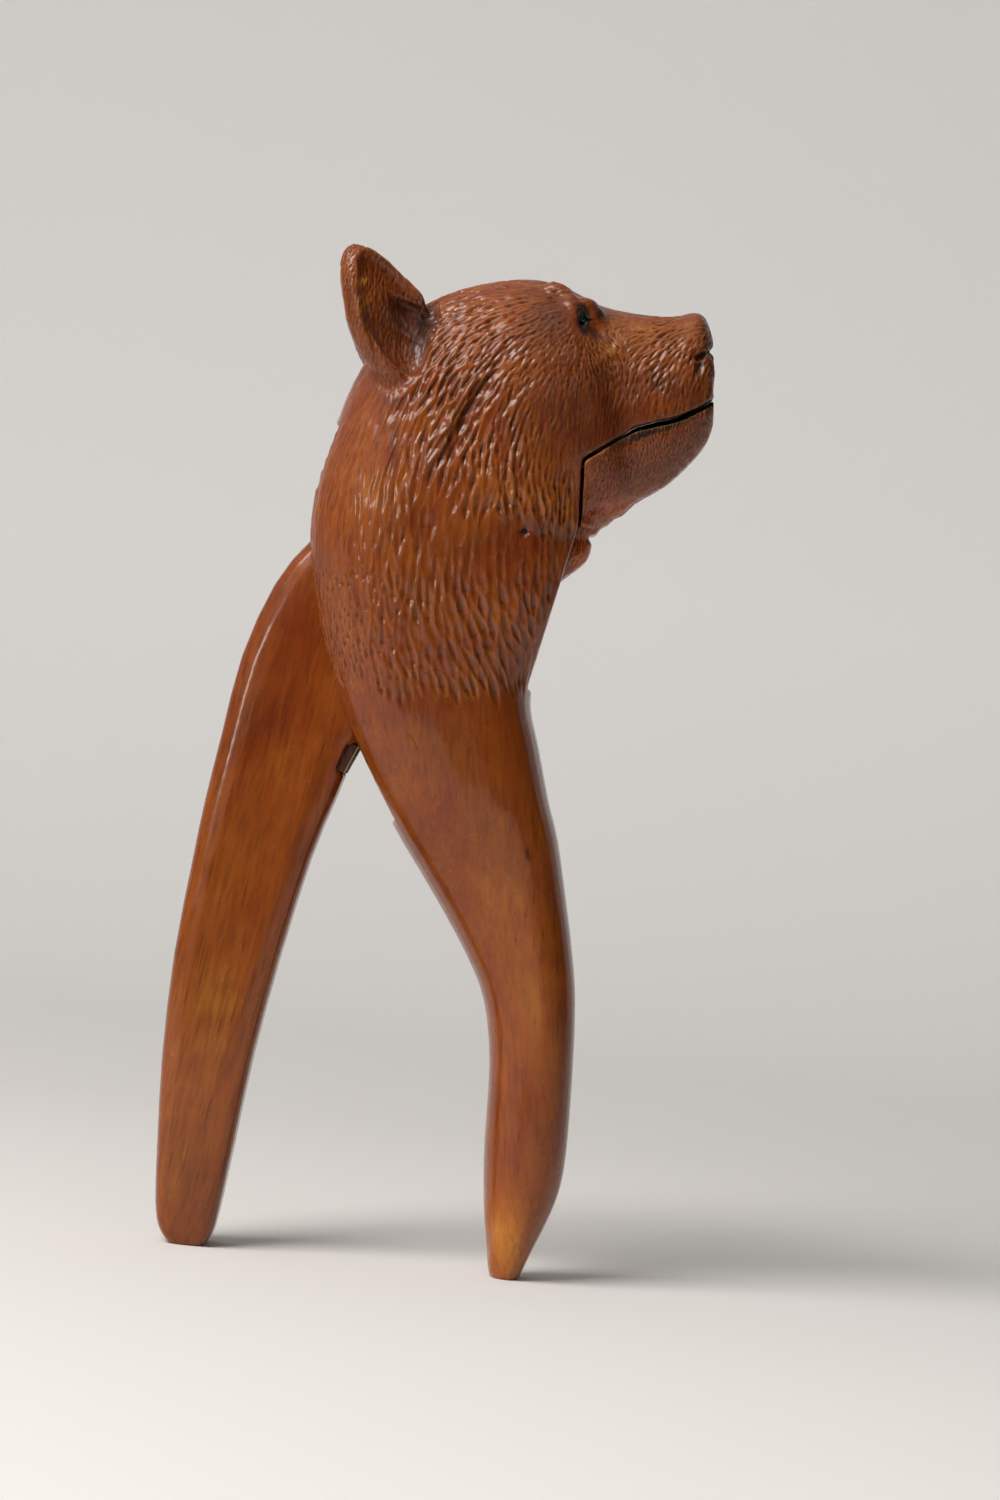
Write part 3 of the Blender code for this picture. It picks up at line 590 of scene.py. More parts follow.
# Tones: oval in the side view, and how much lighter or darker, and how golden, it makes the wood there. Some
# rows
# paint light: painted highlights on the crown's sheen at (490, 312), along the brow ridge at (573, 309) and
# in the gouges at (434, 380), (474, 436) and (445, 417); painted shade round the eye at (590, 312), in the
# hollow between lid and nose at (601, 313), under the eye at (592, 333), in the valley behind the ear at
# (421, 338) and along the upper lip at (660, 420).
HEAD_TONES = [
    ((580, 410, 60, 50, 20), -0.8, -0.1), ((548, 318, 24, 30, 0), -0.75, -0.1),
    ((450, 430, 44, 18, 63), -0.45, 0), ((610, 348, 22, 18, -30), 0.05, 0.8),
    ((650, 328, 50, 14, -4), -0.05, 0.6), ((520, 496, 60, 14, -14), -0.1, 0.7),
    ((675, 388, 40, 15, -15), -0.5, 0), ((345, 470, 20, 60, 0), -0.05, 0.3),
    ((372, 500, 36, 22, 70), 0, 0.6), ((400, 520, 26, 26, 0), -0.25, 0),
    ((500, 545, 60, 22, 0), -0.4, -0.5), ((430, 600, 70, 40, 0), -0.3, 0.1),
    ((470, 660, 80, 22, -20), -0.1, 0), ((440, 745, 50, 40, 0), -0.35, 0.1),
    ((500, 880, 80, 24, -78), 0.1, 0.9), ((530, 1000, 90, 24, -88), 0, 0.7),
    ((560, 1000, 120, 7, -88), -0.35, 0.2), ((490, 312, 50, 22, 15), 0.3, -0.2),
    ((590, 312, 16, 20, 80), -0.4, -0.4), ((708, 345, 10, 22, 0), -0.55, -0.6),
    ((394, 440, 34, 5, 88), -0.6, -0.4), ((395, 398, 18, 8, -10), -0.6, -0.3),
    ((505, 1240, 20, 40, 0), 0.5, 1), ((488, 800, 70, 30, -78), -0.3, 0),
    ((421, 338, 32, 9, 80), -1.35, -0.2), ((601, 313, 8, 4, -50), -1.4, -0.2),
    ((573, 309, 14, 2.2, -72), 0.5, -0.3), ((592, 333, 14, 5, -24), -0.8, -0.2),
    ((528, 855, 3, 7, 20), -1.2, 0), ((503, 860, 2, 2, 0), -1, 0), ((700, 364, 9, 3, 65), -1.6, -0.5),
    ((434, 380, 18, 4, 78), 0.7, -0.5), ((474, 436, 24, 3.5, 62), 0.7, -0.5),
    ((445, 417, 9, 4, 40), 0.7, -0.5), ((452, 690, 60, 40, 0), -0.2, 0),
    ((660, 420, 44, 5, 22), -0.35, -0.1),
]
# On the ear: painted shade in its pocket at (412, 316) and in the valley behind it at (422, 332), and a
# painted highlight along its front edge at (411, 277).
EAR_TONES = [
    ((412, 316, 30, 18, -24), -0.9, -0.4), ((385, 330, 26, 44, 100), -0.55, 0.2),
    ((360, 262, 18, 14, 100), 0.15, 0.1), ((351, 300, 34, 6, 97), -0.55, 0.1),
    ((362, 344, 40, 6, 118), 0.35, -0.3), ((363, 281, 5, 3, 70), 1, 2.6), ((366, 300, 12, 5, 70), 0.1, 1),
    ((422, 332, 32, 9, 80), -1.2, -0.3), ((411, 277, 20, 3, -48), 0.3, 0.2),
]
EYE_SHADE_OVAL = (583.2, 318.5, 16.5, 6.8, 98)
EYE_SHADE_EDGE = (0.3, 0.55)
PAINTED_RECESS_SHADE = 2.0
TUFT_SHADE = 0.25
TUFT_SHADE_PX = 4
MOUTH_DARK_PX = (6, 1)
MOUTH_CORNER_DARK_PX = 4
BORE_DEPTH = 0.003
BORE_DARK = (0.0009, 0.0006)
light, gold = np.where(on_ear[:, None], toned(px, py, EAR_TONES), toned(px, py, HEAD_TONES)).T
# Painted shade darkens the mouth gap, the pin's bore and a dark almond round each eye, where it is partly
# dark stain on the lids. Under the ruff's tufts the darkening is partly painted shade and partly stain
# settled there.
near_lip = ramp(above_line(px, py, LIP), *MOUTH_DARK_PX)
in_mouth = (px > LIP[0][0] - MOUTH_CORNER_DARK_PX) * near_lip * ramp(-head_out[:, 2], 0.2, 0.6)
in_bore = ramp(from_pin, *BORE_DARK) * (reach > CHEEK_FACE - BORE_DEPTH)
under_tufts = TUFT_SHADE * on_ruff * np.exp(-(above_edge / TUFT_SHADE_PX + 1) ** 2) * on_cheek
round_eye = ramp(mound(px, py, EYE_SHADE_OVAL), *EYE_SHADE_EDGE) * on_cheek
light -= np.maximum(PAINTED_RECESS_SHADE * np.clip(in_mouth + in_bore + round_eye, 0, 1), under_tufts)
note_on_skin(head_skin, light=light, gold=gold)
# Faces go first where the skin is smoothest
head_skin = through_modifiers(head_skin, ("DECIMATE", {"ratio": HEAD_FACES_KEPT}))


def give(tree, node, inputs):
    """Links a node's inputs to sockets, or sets them to values."""
    for key, value in dict(inputs).items():
        if isinstance(value, bpy.types.NodeSocket):
            tree.links.new(value, node.inputs[key])
        else:
            node.inputs[key].default_value = value


def add_node(tree, kind, inputs=(), **settings):
    """A shader node with its settings and its inputs."""
    node = tree.nodes.new(kind)
    for key, value in settings.items():
        setattr(node, key, value)
    give(tree, node, inputs)
    return node


def blend_colours(tree, share, first, second):
    """Colour of the first socket, or value, turned towards the second by a share."""
    first, second = [(*colour, 1) if isinstance(colour, tuple) else colour for colour in (first, second)]
    return add_node(tree, "ShaderNodeMix", {0: share, 6: first, 7: second}, data_type="RGBA").outputs[2]


def reckon(tree, way, *values):
    """One sum of two or three sockets or numbers."""
    node = add_node(tree, "ShaderNodeMath", dict(enumerate(values)), operation=way)
    return node.outputs[0]


def spread_between(tree, value, low, high, to_low=0, to_high=1):
    """A value clamped to a range and spread over another."""
    wanted = {"Value": value, "From Min": low, "From Max": high, "To Min": to_low, "To Max": to_high}
    return add_node(tree, "ShaderNodeMapRange", wanted).outputs[0]


def noted(tree, name):
    return add_node(tree, "ShaderNodeAttribute", attribute_name=name).outputs["Fac"]


def object_place(tree):
    return add_node(tree, "ShaderNodeTexCoord").outputs["Object"]


def stretched(tree, where, scale):
    return add_node(tree, "ShaderNodeMapping", {"Vector": where, "Scale": scale}).outputs[0]


def bump(tree, height, strength, distance):
    wanted = {"Strength": strength, "Distance": distance, "Height": height}
    return add_node(tree, "ShaderNodeBump", wanted).outputs[0]


def cloud(tree, where, scale, detail=3, roughness=0.55, distortion=0):
    wanted = {"Vector": where, "Scale": scale, "Detail": detail, "Roughness": roughness}
    return add_node(tree, "ShaderNodeTexNoise", {**wanted, "Distortion": distortion}).outputs["Fac"]


# Stained limewood: a red-brown water stain that takes unevenly, ochre where it is worn thin, with
# fine dark pores and streaks along the grain
STAIN_RED = (0.19, 0.032, 0.004)
STAIN_OCHRE = (0.285, 0.07, 0.0068)
DARK_STAIN_AND_SHADE = (0.05, 0.01, 0.003)
STAIN_GOLD = (0.43, 0.165, 0.018)


def stained_wood_group():
    """Node group: colour, height and gloss of stained limewood, from a place along the grain."""
    tree = bpy.data.node_groups.new("stained_limewood", "ShaderNodeTree")
    inputs = {"Place": "Vector", "Ochre": "Float", "Lightness": "Float", "Pores": "Float"}
    outputs = {"Color": "Color", "Height": "Float", "Dullness": "Float"}
    for way, sockets in (("INPUT", inputs), ("OUTPUT", outputs)):
        for name, kind in sockets.items():
            tree.interface.new_socket(name, in_out=way, socket_type=f"NodeSocket{kind}")
    given = add_node(tree, "NodeGroupInput").outputs
    place = given["Place"]
    along_grain = stretched(tree, place, (1, 1, 0.1))
    along_pores = stretched(tree, place, (1, 1, 0.06))
    patches = cloud(tree, place, 55, 4, 0.6, 0.6)
    streaks = cloud(tree, along_grain, 420, 4, 0.6)
    lines = cloud(tree, along_grain, 1500, 2, 0.5)
    pores = cloud(tree, along_pores, 2600, 1, 0.4)
    ochre = reckon(tree, "ADD", spread_between(tree, patches, 0.3, 0.72), given["Ochre"])
    ochre = reckon(tree, "ADD", ochre, spread_between(tree, streaks, 0.3, 0.7, -0.32, 0.32))
    colour = blend_colours(tree, spread_between(tree, ochre, -0.1, 1.1), STAIN_RED, STAIN_OCHRE)
    colour = blend_colours(tree, spread_between(tree, ochre, 1.1, 2.2), colour, STAIN_GOLD)
    # Lightness below nought turns the wood towards the dark colour, for darker stain and for painted shade
    # alike.
    dark = reckon(tree, "ADD", spread_between(tree, lines, 0.44, 0.76, 0, 0.38),
                  spread_between(tree, given["Lightness"], 0, -1, 0, 0.8))
    colour = blend_colours(tree, dark, colour, DARK_STAIN_AND_SHADE)
    pore_share = reckon(tree, "MULTIPLY", spread_between(tree, pores, 0.66, 0.76), given["Pores"])
    colour = blend_colours(tree, pore_share, colour, DARK_STAIN_AND_SHADE)
    # Lightness also scales the colour: brighter above nought, which paints highlights as well as lighter
    # stain, and much darker below -1.3 for the deepest painted shade.
    lighter = spread_between(tree, given["Lightness"], 0, 2, 1, 2.8)
    deepest = spread_between(tree, given["Lightness"], -1.3, -2, 1, 0.2)
    lighter = reckon(tree, "MULTIPLY", lighter, deepest)
    bright = add_node(tree, "ShaderNodeVectorMath", {0: colour, 3: lighter}, operation="SCALE")
    height = reckon(tree, "MULTIPLY_ADD", lines, 0.5, reckon(tree, "MULTIPLY", pore_share, -0.8))
    dullness = spread_between(tree, cloud(tree, place, 160, 3, 0.6), 0.3, 0.7)
    add_node(tree, "NodeGroupOutput", {"Color": bright.outputs[0], "Height": height, "Dullness": dullness})
    return tree


stained_limewood = stained_wood_group()


def wood_place(tree, lean_degrees):
    """Places along the grain of a piece, whose grain runs up the handle."""
    wanted = {"Vector": object_place(tree), "Rotation": (0, math.radians(lean_degrees), 0)}
    return add_node(tree, "ShaderNodeMapping", wanted).outputs[0]


def new_material(name):
    material = bpy.data.materials.new(name)
    material.use_nodes = True
    return material, material.node_tree, material.node_tree.nodes["Principled BSDF"]


# Varnished carving: the stain lies dark in the grooves and is worn to gold on the ridges
GROOVE_STAIN = (0.042, 0.01, 0.003)
RIDGE_WEAR = (0.48, 0.2, 0.05)
HEAD_GRAIN_DEGREES = 9
JAW_GRAIN_DEGREES = -8


def carved_wood(name, lean_degrees):
    material, tree, shader = new_material(name)
    crease, hair_across, hair_along = [noted(tree, n) for n in ("crease", "hair_across", "hair_along")]
    carved, tuft, light, gold = [noted(tree, n) for n in ("carved", "tuft", "light", "gold")]
    wood = add_node(tree, "ShaderNodeGroup", node_tree=stained_limewood)
    tuft_tone = reckon(tree, "MULTIPLY", spread_between(tree, tuft, 0, 1, -0.36, 0.36), carved)
    # The light note carries the tone tables, with their painted highlights and painted shade, and the painted
    # shade of the mouth, the bore and the eyes.
    give(tree, wood, {"Place": wood_place(tree, lean_degrees), "Ochre": reckon(tree, "ADD", gold, tuft_tone),
                      "Lightness": light, "Pores": 0.6})
    drawn_out = reckon(tree, "MULTIPLY", hair_along, 0.12)
    hair_place = add_node(tree, "ShaderNodeCombineXYZ", {"X": hair_across, "Y": drawn_out})
    hairs = cloud(tree, hair_place.outputs[0], 3.2, 3, 0.6)
    uneven = reckon(tree, "SUBTRACT", hairs, 0.5)
    broken = reckon(tree, "MULTIPLY_ADD", uneven, reckon(tree, "MULTIPLY", carved, 0.9), crease)
    sunk = spread_between(tree, broken, 0.08, 0.75, 0, 0.85)
    stained = blend_colours(tree, sunk, wood.outputs["Color"], GROOVE_STAIN)
    worn = spread_between(tree, broken, -0.25, -0.95, 0, 0.28)
    stained = blend_colours(tree, worn, stained, RIDGE_WEAR)
    gloss = spread_between(tree, wood.outputs["Dullness"], 0, 1, 0.2, 0.3)
    gloss = reckon(tree, "ADD", gloss, spread_between(tree, light, -0.9, -1.8, 0, 0.6))
    grain_rise = reckon(tree, "MULTIPLY", wood.outputs["Height"], 0.25)
    rise = reckon(tree, "MULTIPLY_ADD", hairs, carved, grain_rise)
    varnish = spread_between(tree, light, -0.9, -1.8, 0.34, 0)
    give(tree, shader, {"Base Color": stained, "Roughness": gloss, "Specular IOR Level": 0.26,
                        "Coat Weight": varnish, "Coat Roughness": 0.1,
                        "Normal": bump(tree, rise, 1, 0.00006)})
    return material


carved_limewood = carved_wood("varnished_carved_limewood", HEAD_GRAIN_DEGREES)

# The long piece is kept as two meshes that meet on one flat cut across the neck, behind the jaw
NECK_CUT_PX = ((350, 398), (578, 480))


def row_place(pixel):
    """Place in the tool's middle plane of a pixel of the side view."""
    across = (pixel[0] - PIN_PX[0]) * METRES_PER_PX
    rise = (PIN_PX[1] - pixel[1]) * METRES_PER_PX
    east = across * math.cos(LEAN) - rise * math.sin(LEAN)
    return PIN + Vector((east, 0, across * math.sin(LEAN) + rise * math.cos(LEAN)))


def part_of_skin(mesh, name, cut_px, above):
    """The part of a skin above or below a flat cut, closed over the cut."""
    start, end = [row_place(pixel) for pixel in cut_px]
    facing = Vector((0, 1, 0)).cross(end - start).normalized()
    facing = facing if facing.z > 0 else -facing
    shape = bmesh.new()
    shape.from_mesh(mesh)
    everything = list(shape.verts) + list(shape.edges) + list(shape.faces)
    done = bmesh.ops.bisect_plane(shape, geom=everything, dist=1e-7, plane_co=start, plane_no=facing,
                                  clear_inner=above, clear_outer=not above)
    rim = [e for e in done["geom_cut"] if isinstance(e, bmesh.types.BMEdge)]
    for edge in rim:
        edge.smooth = False
    cap = bmesh.ops.triangle_fill(shape, edges=rim, use_beauty=True, normal=-facing if above else facing)
    for face in shape.faces:
        face.smooth = True
    for face in [f for f in cap["geom"] if isinstance(f, bmesh.types.BMFace)]:
        face.smooth = False
        if (face.normal.dot(facing) > 0) == above:
            face.normal_flip()
    return mesh_of(shape, name)


def finished_piece(name, mesh, material, body, nodes):
    """A finished piece in the scene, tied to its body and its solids."""
    mesh.materials.clear()
    mesh.materials.append(material)
    piece = placed(name, mesh)
    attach(piece, body)
    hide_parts(*nodes)


for name, above in (("carved_skull", True), ("carved_neck_and_handle", False)):
    mesh = part_of_skin(head_skin, name, NECK_CUT_PX, above)
    finished_piece(name, mesh, carved_limewood, "head", ["head_lever"])


# The glass eyes are dark beads with a green glint. Each is set in a round socket, held by the wire
# behind it, and shows between two carved lids.
EYE_SEGMENTS = 48
EYE_RINGS = 32
EYE_GAZE = (0.35, 0.92, 0.1)
IRIS_DARK = (0.001, 0.006, 0.005)
IRIS_GREEN = (0.004, 0.024, 0.02)
GLASS_EDGE = (0.0015, 0.002, 0.002)
PUPIL_BLACK = (0.0008, 0.0008, 0.0008)


def glass_bead(name, side):
    middle, radius = eye_bead(side)
    shape = bmesh.new()
    bmesh.ops.create_uvsphere(shape, u_segments=EYE_SEGMENTS, v_segments=EYE_RINGS, radius=radius)
    bmesh.ops.translate(shape, verts=shape.verts, vec=Vector(middle))
    mesh = mesh_of(shape, name)
    mesh.shade_smooth()
    spots, out = read_skin(mesh)
    note_on_skin(mesh, gaze=out @ way_from_eye(EYE_GAZE, middle))
    move_skin(mesh, press_flatter(spots, middle))
    return mesh


def eye_glass():
    material, tree, shader = new_material("dark_green_eye_glass")
    gaze = noted(tree, "gaze")
    flecks = cloud(tree, object_place(tree), 2500, 3, 0.6)
    iris = blend_colours(tree, flecks, IRIS_DARK, IRIS_GREEN)
    colour = blend_colours(tree, spread_between(tree, gaze, 0.72, 0.8), GLASS_EDGE, iris)
    colour = blend_colours(tree, spread_between(tree, gaze, 0.91, 0.94), colour, PUPIL_BLACK)
    give(tree, shader, {"Base Color": colour, "Roughness": 0.1, "Specular IOR Level": 0.35,
                        "Coat Weight": 0.3, "Coat Roughness": 0.02})
    return material


dark_glass = eye_glass()
for side in ("right", "left"):
    bead = glass_bead(f"glass_eye_bead_{side}", side)
    finished_piece(f"glass_eye_bead_{side}", bead, dark_glass, "head", [f"glass_eye_{side}"])


# The pivot pin and the wires behind the eyes are drawn steel, dull and darkened with age. The pin is
# driven through both cheeks of the neck, and each wire is glued into its hole.
STEEL_TARNISHED = (0.014, 0.011, 0.009)
STEEL_BARE = (0.05, 0.042, 0.036)


def drawn_steel():
    material, tree, shader = new_material("dull_drawn_steel")
    where = object_place(tree)
    tarnish = cloud(tree, where, 900, 4, 0.6)
    scratches = cloud(tree, stretched(tree, where, (1, 0.08, 1)), 6000, 2, 0.5)
    colour = blend_colours(tree, spread_between(tree, tarnish, 0.4, 0.65), STEEL_TARNISHED, STEEL_BARE)
    gloss = spread_between(tree, tarnish, 0.3, 0.7, 0.62, 0.42)
    give(tree, shader, {"Base Color": colour, "Roughness": gloss, "Metallic": 0.9,
                        "Normal": bump(tree, scratches, 0.4, 0.00003)})
    return material


dull_steel = drawn_steel()
for node in ("pivot_pin", "eye_wire_right", "eye_wire_left"):
    frame["nodes"][node].material_slots[0].material = dull_steel


# The second lever is one piece of limewood: the lower jaw with its finely carved fur, the tongue
# that runs back through the slot in the neck and turns on the pivot pin, and the smooth rear handle.
JAW_SKIN_SIZE = 0.0005
JAW_FACES_KEPT = 0.9
JAW_TRIES = 30000
JAW_CLOSENESS = (0.4, 0.7)
JAW_COAT = (262, 0.55, 2.6, 0.24)
JAW_OUTLINE = [(576, 470), (622, 438), (650, 427), (675, 419), (702, 405), (730, 395), (730, 520), (640, 560),
               (600, 600), (555, 600), (560, 560), (577, 520)]
LIP_SHADE_PX = (604, 636, 698, 712)
LIP_SHADE_DROP_PX = (-8, -5.5)
LIP_TOP_DROP_PX = (-9, -4)
JAW_FINE_REACH = 0.003
JAW_FORMS = [
    ((607, 508, 28, 5, 14), -0.4), ((593, 539, 5, 4, 0), -1.3), ((604, 526, 12, 9, 20), 0.4),
    ((582, 558, 9, 10, 0), 0.4), ((642, 500, 28, 5, 26), -0.3), ((700, 415, 8, 5, 30), 0.2),
    ((572, 540, 5, 20, 80), -0.3),
]
jaw_skin = even_skin("jaw_lever", JAW_SKIN_SIZE)
jaw_spots, jaw_out = read_skin(jaw_skin)
px, py, reach = side_view(jaw_spots)
halve_faces(jaw_skin, inside(px, py, JAW_OUTLINE) & (reach > JAW_FINE_REACH))
jaw_spots, jaw_out = read_skin(jaw_skin)
px, py, reach = side_view(jaw_spots)
outward = jaw_out[:, 1] * np.sign(jaw_spots[:, 1])
on_jaw = inside(px, py, JAW_OUTLINE)
jaw_spots += jaw_out * raised(px, py, JAW_FORMS, on_jaw * (outward > -0.1))[:, None]
in_front = (py < PALATE_ABOVE_PY[1]) * (px > MOUTH_CORNER_PX[0])
mouth_floor = ramp(jaw_out[:, 2], 0.1, 0.4) * gap_rise(px) * in_front
jaw_spots[:, 2] += PALATE_RISE * mouth_floor * np.clip(1 - (reach / PALATE_HALF_WIDTH) ** 2, 0, 1)
move_skin(jaw_skin, jaw_spots)
jaw_spots, jaw_out = read_skin(jaw_skin)
jaw_fur = on_jaw * ramp(outward, -0.1, 0.15) * (jaw_out[:, 2] < 0.75)
jaw_turn = np.full(len(px), math.radians(JAW_COAT[0]))
jaw_hair, jaw_across = lie_on_skin(jaw_turn, jaw_out)
broad, long, deep = [np.full(len(px), value * MM) for value in JAW_COAT[1:]]
kept = spread_strokes(jaw_spots, jaw_hair, jaw_across, broad, long, jaw_fur > 0.5, rng, JAW_CLOSENESS,
                      JAW_TRIES)
strokes = [(k, broad[k], long[k], deep[k]) for k in kept]
jaw_out = carve_coat(jaw_skin, jaw_hair, jaw_across, strokes, jaw_fur, rng)
# Tones of the jaw lever, as for the head. The paler, greyer patches under the jaw and on the throat, at (600,
# 490), (607, 512) and (582, 554), are painted sheen.
JAW_TONES = [
    ((660, 465, 60, 30, 20), -0.1, -0.3), ((600, 490, 26, 20, 0), 0.6, -0.3),
    ((607, 512, 34, 10, 14), 1.4, -0.3), ((582, 554, 16, 18, 0), 2, -0.3),
    ((290, 620, 60, 40, 60), -0.2, -0.6), ((255, 720, 60, 45, 70), -0.35, -0.3),
    ((230, 850, 90, 40, 80), -0.3, 0.6), ((205, 1010, 90, 44, 85), -0.35, 0.9),
    ((195, 1180, 60, 45, 85), -0.4, 0.4), ((280, 900, 200, 6, 72), -0.4, -0.2),
]
light, gold = toned(px, py, JAW_TONES).T
# Painted shade in the mouth gap: along the lower lip's outer edge and on the jaw's top inside the gap.
above_lip = above_line(px, py, LIP)
start, back, front, end = LIP_SHADE_PX
lip_shade = ramp(above_lip, *LIP_SHADE_DROP_PX) * ramp(px, start, back) * ramp(px, end, front)
lip_top = ramp(above_lip, *LIP_TOP_DROP_PX) * ramp(jaw_out[:, 2], 0.1, 0.5)
light -= PAINTED_RECESS_SHADE * on_jaw * np.maximum(lip_shade, lip_top)
note_on_skin(jaw_skin, light=light, gold=gold)
jaw_skin = through_modifiers(jaw_skin, ("DECIMATE", {"ratio": JAW_FACES_KEPT}))
jaw_skin.shade_smooth()
lever_limewood = carved_wood("varnished_lever_limewood", JAW_GRAIN_DEGREES)
finished_piece("jaw_tongue_and_rear_handle", jaw_skin, lever_limewood, "jaw", ["jaw_lever"])


# The insert is a small block of dark wood glued into the inner edge of the rear handle, with a
# thin line of yellow glue showing along its outer side.
INSERT_SEAT = 0.00027
INSERT_EDGE = 0.00018
INSERT_TAPER = 0.00055
INSERT_DARK = (0.024, 0.007, 0.004)
INSERT_LIGHT = (0.07, 0.021, 0.011)
GLUE_YELLOW = (0.26, 0.19, 0.085)
GLUE_LINE_MM = (0.22, 0.27, 0.38, 0.43)


def dark_insert():
    material, tree, shader = new_material("dark_insert_wood")
    grain = cloud(tree, stretched(tree, object_place(tree), (1, 1, 0.2)), 1800)
    colour = blend_colours(tree, spread_between(tree, grain, 0.35, 0.7), INSERT_DARK, INSERT_LIGHT)
    outer, start, end, inner = GLUE_LINE_MM
    from_edge = noted(tree, "from_edge")
    glue = reckon(tree, "MULTIPLY", spread_between(tree, from_edge, outer, start),
                  spread_between(tree, from_edge, inner, end))
    colour = blend_colours(tree, glue, colour, GLUE_YELLOW)
    gloss = spread_between(tree, grain, 0.3, 0.7, 0.45, 0.65)
    give(tree, shader, {"Base Color": colour, "Roughness": gloss, "Specular IOR Level": 0.2,
                        "Normal": bump(tree, grain, 0.6, 0.00006)})
    return material


def seated_insert():
    """The insert's solid brought out to its seat in the handle, tapered with it, its edges broken."""
    shape = solid_shape("lever_insert")
    bmesh.ops.dissolve_limit(shape, angle_limit=math.radians(2), verts=shape.verts, edges=shape.edges)
    middle = sum((v.co for v in shape.verts), Vector()) / len(shape.verts)
    level = [e for e in shape.edges if abs(e.verts[0].co.y - e.verts[1].co.y) < 1e-5]
    longest = max(level, key=lambda e: e.calc_length())
    lengthwise = (longest.verts[1].co - longest.verts[0].co).normalized()
    lengthwise = lengthwise if lengthwise.z > 0 else -lengthwise
    outwards = lengthwise.cross(Vector((0, 1, 0)))
    outwards = outwards if outwards.x > 0 else -outwards
    for v in shape.verts:
        off = v.co - middle
        low_outer = off.dot(lengthwise) < 0 < off.dot(outwards)
        v.co += lengthwise * math.copysign(INSERT_SEAT, off.dot(lengthwise))
        v.co += outwards * (math.copysign(INSERT_SEAT, off.dot(outwards)) - low_outer * INSERT_TAPER)
    slant = lengthwise * (longest.calc_length() + 2 * INSERT_SEAT) + outwards * INSERT_TAPER
    facing = slant.normalized().cross(Vector((0, 1, 0)))
    facing = facing if facing.x > 0 else -facing
    bmesh.ops.bevel(shape, geom=list(shape.edges), offset=INSERT_EDGE, segments=2, profile=0.5,
                    affect="EDGES", material=-1)
    mesh = mesh_of(shape, "dark_lever_insert")
    spots, out = read_skin(mesh)
    reach_out = spots @ np.array(facing)
    note_on_skin(mesh, from_edge=(reach_out.max() - reach_out) / MM)
    return mesh


finished_piece("dark_lever_insert", seated_insert(), dark_insert(), "jaw", ["lever_insert"])


# Floor and light of the photograph: a pale sweep of paper, one broad soft lamp high up to the left
# in front of the tool, and a faint low one under it that lights the handles.
SWEEP_HALF_WIDTH = 2.5
SWEEP_FRONT = -0.5
SWEEP_BEND = 0.6
SWEEP_RADIUS = 0.8
SWEEP_HEIGHT = 2.4
sweep_shape = bmesh.new()
start = sweep_shape.verts.new((-SWEEP_HALF_WIDTH, SWEEP_FRONT, 0))
bend = sweep_shape.verts.new((-SWEEP_HALF_WIDTH, SWEEP_BEND, 0))
sweep_shape.edges.new((start, bend))
turned = bmesh.ops.spin(sweep_shape, geom=[bend], cent=(0, SWEEP_BEND, SWEEP_RADIUS), axis=(1, 0, 0),
                        angle=math.pi / 2, steps=24, use_duplicate=False)
top = [v for v in turned["geom_last"] if isinstance(v, bmesh.types.BMVert)][0]
high = sweep_shape.verts.new((-SWEEP_HALF_WIDTH, top.co.y, SWEEP_HEIGHT))
sweep_shape.edges.new((top, high))
sides = bmesh.ops.extrude_edge_only(sweep_shape, edges=list(sweep_shape.edges))
moved = [v for v in sides["geom"] if isinstance(v, bmesh.types.BMVert)]
bmesh.ops.translate(sweep_shape, verts=moved, vec=(2 * SWEEP_HALF_WIDTH, 0, 0))
bmesh.ops.recalc_face_normals(sweep_shape, faces=sweep_shape.faces)
sweep_mesh = mesh_of(sweep_shape, "paper_sweep")
sweep_mesh.shade_smooth()
sweep = placed("paper_sweep", sweep_mesh)
PAPER_FLOOR = (0.78, 0.755, 0.73)
PAPER_WALL = (0.82, 0.79, 0.765)
PAPER_GLOW = (0.18, 0.177, 0.176)
PAPER_CHANGE = (0.3, 1.1)


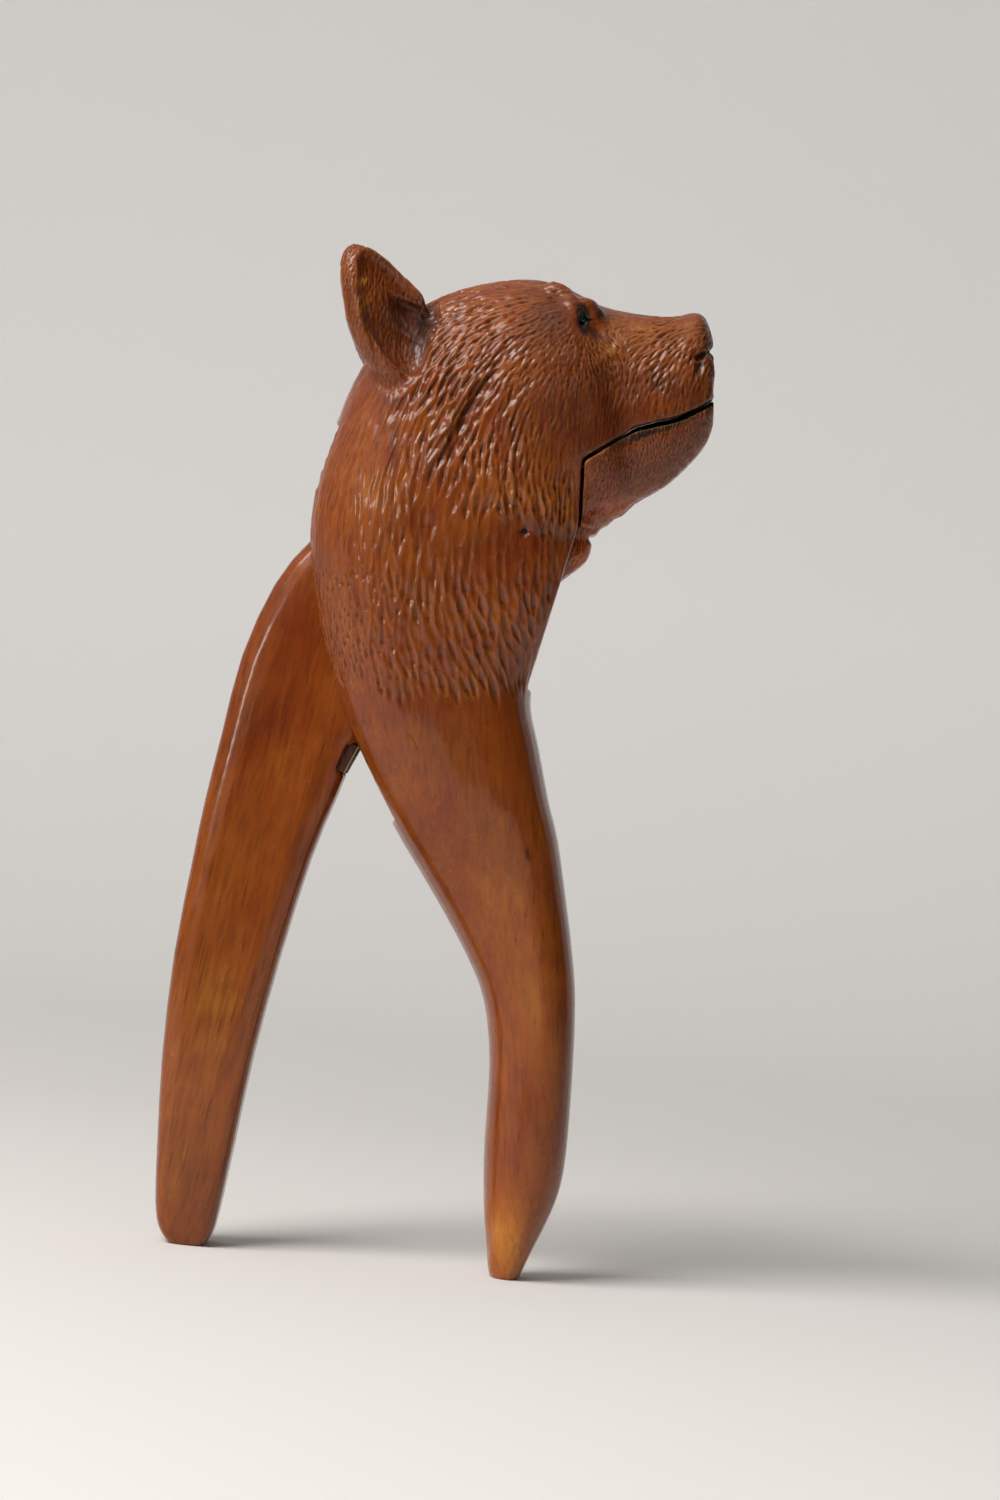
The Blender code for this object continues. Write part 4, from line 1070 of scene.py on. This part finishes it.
def pale_paper():
    material, tree, shader = new_material("pale_paper")
    depth = add_node(tree, "ShaderNodeSeparateXYZ", {0: object_place(tree)}).outputs["Y"]
    far_share = spread_between(tree, depth, *PAPER_CHANGE)
    colour = blend_colours(tree, far_share, PAPER_FLOOR, PAPER_WALL)
    glow = blend_colours(tree, far_share, (0, 0, 0), PAPER_GLOW)
    looks = add_node(tree, "ShaderNodeLightPath").outputs
    seen = reckon(tree, "MAXIMUM", looks["Is Camera Ray"], looks["Is Glossy Ray"])
    seen = reckon(tree, "MAXIMUM", seen, looks["Is Transmission Ray"])
    give(tree, shader, {"Base Color": colour, "Emission Color": glow, "Emission Strength": seen,
                        "Roughness": 0.9, "Specular IOR Level": 0.1})
    return material


sweep_mesh.materials.append(pale_paper())

ROOM_BRIGHT = (0.58, 0.58, 0.58)
ROOM_DIM = (0.03, 0.03, 0.03)
ROOM_SEEN = (0.62, 0.6, 0.58)
BRIGHT_WAY = (-0.4, -0.05, 0.92)
world = bpy.data.worlds.new("studio")
bpy.context.scene.world = world
world.use_nodes = True
room = world.node_tree
facing = add_node(room, "ShaderNodeTexCoord").outputs["Generated"]
towards = add_node(room, "ShaderNodeVectorMath", {0: facing, 1: BRIGHT_WAY}, operation="DOT_PRODUCT")
bright_share = spread_between(room, towards.outputs["Value"], 0.3, 0.95)
light_of_room = blend_colours(room, bright_share, ROOM_DIM, ROOM_BRIGHT)
seen = add_node(room, "ShaderNodeLightPath").outputs["Is Camera Ray"]
room.links.new(blend_colours(room, seen, light_of_room, ROOM_SEEN), room.nodes["Background"].inputs["Color"])


def soft_lamp(name, place, aim, size, watts, colour):
    lamp = bpy.data.lights.new(name, "AREA")
    lamp.shape = "SQUARE"
    lamp.size = size
    lamp.energy = watts
    lamp.color = colour
    holder = placed(name, lamp)
    holder.location = place
    holder.rotation_euler = (Vector(aim) - Vector(place)).to_track_quat("-Z", "Y").to_euler()


soft_lamp("key_softbox", (-0.55, -0.6, 0.92), (0, 0, 0.12), 0.6, 13.2, (1, 0.98, 0.95))
soft_lamp("low_strip", (-0.5, -0.62, 0.22), (0, 0, 0.1), 0.14, 0.9, (1, 0.97, 0.92))

# The camera looks level at the bear's right side, tipped over by the lean of the standing tool.
LENS = 100
LONG_SIDE = 36
camera_data = bpy.data.cameras.new("side_camera")
camera_data.lens = LENS
camera_data.sensor_width = LONG_SIDE
camera = placed("side_camera", camera_data)
camera.location = row_place(VIEW_CENTRE_PX) - Vector((0, VIEW_DISTANCE, 0))
camera.rotation_euler = (math.radians(90), -LEAN, 0)
bpy.context.scene.camera = camera
bpy.context.scene.view_settings.view_transform = "Standard"
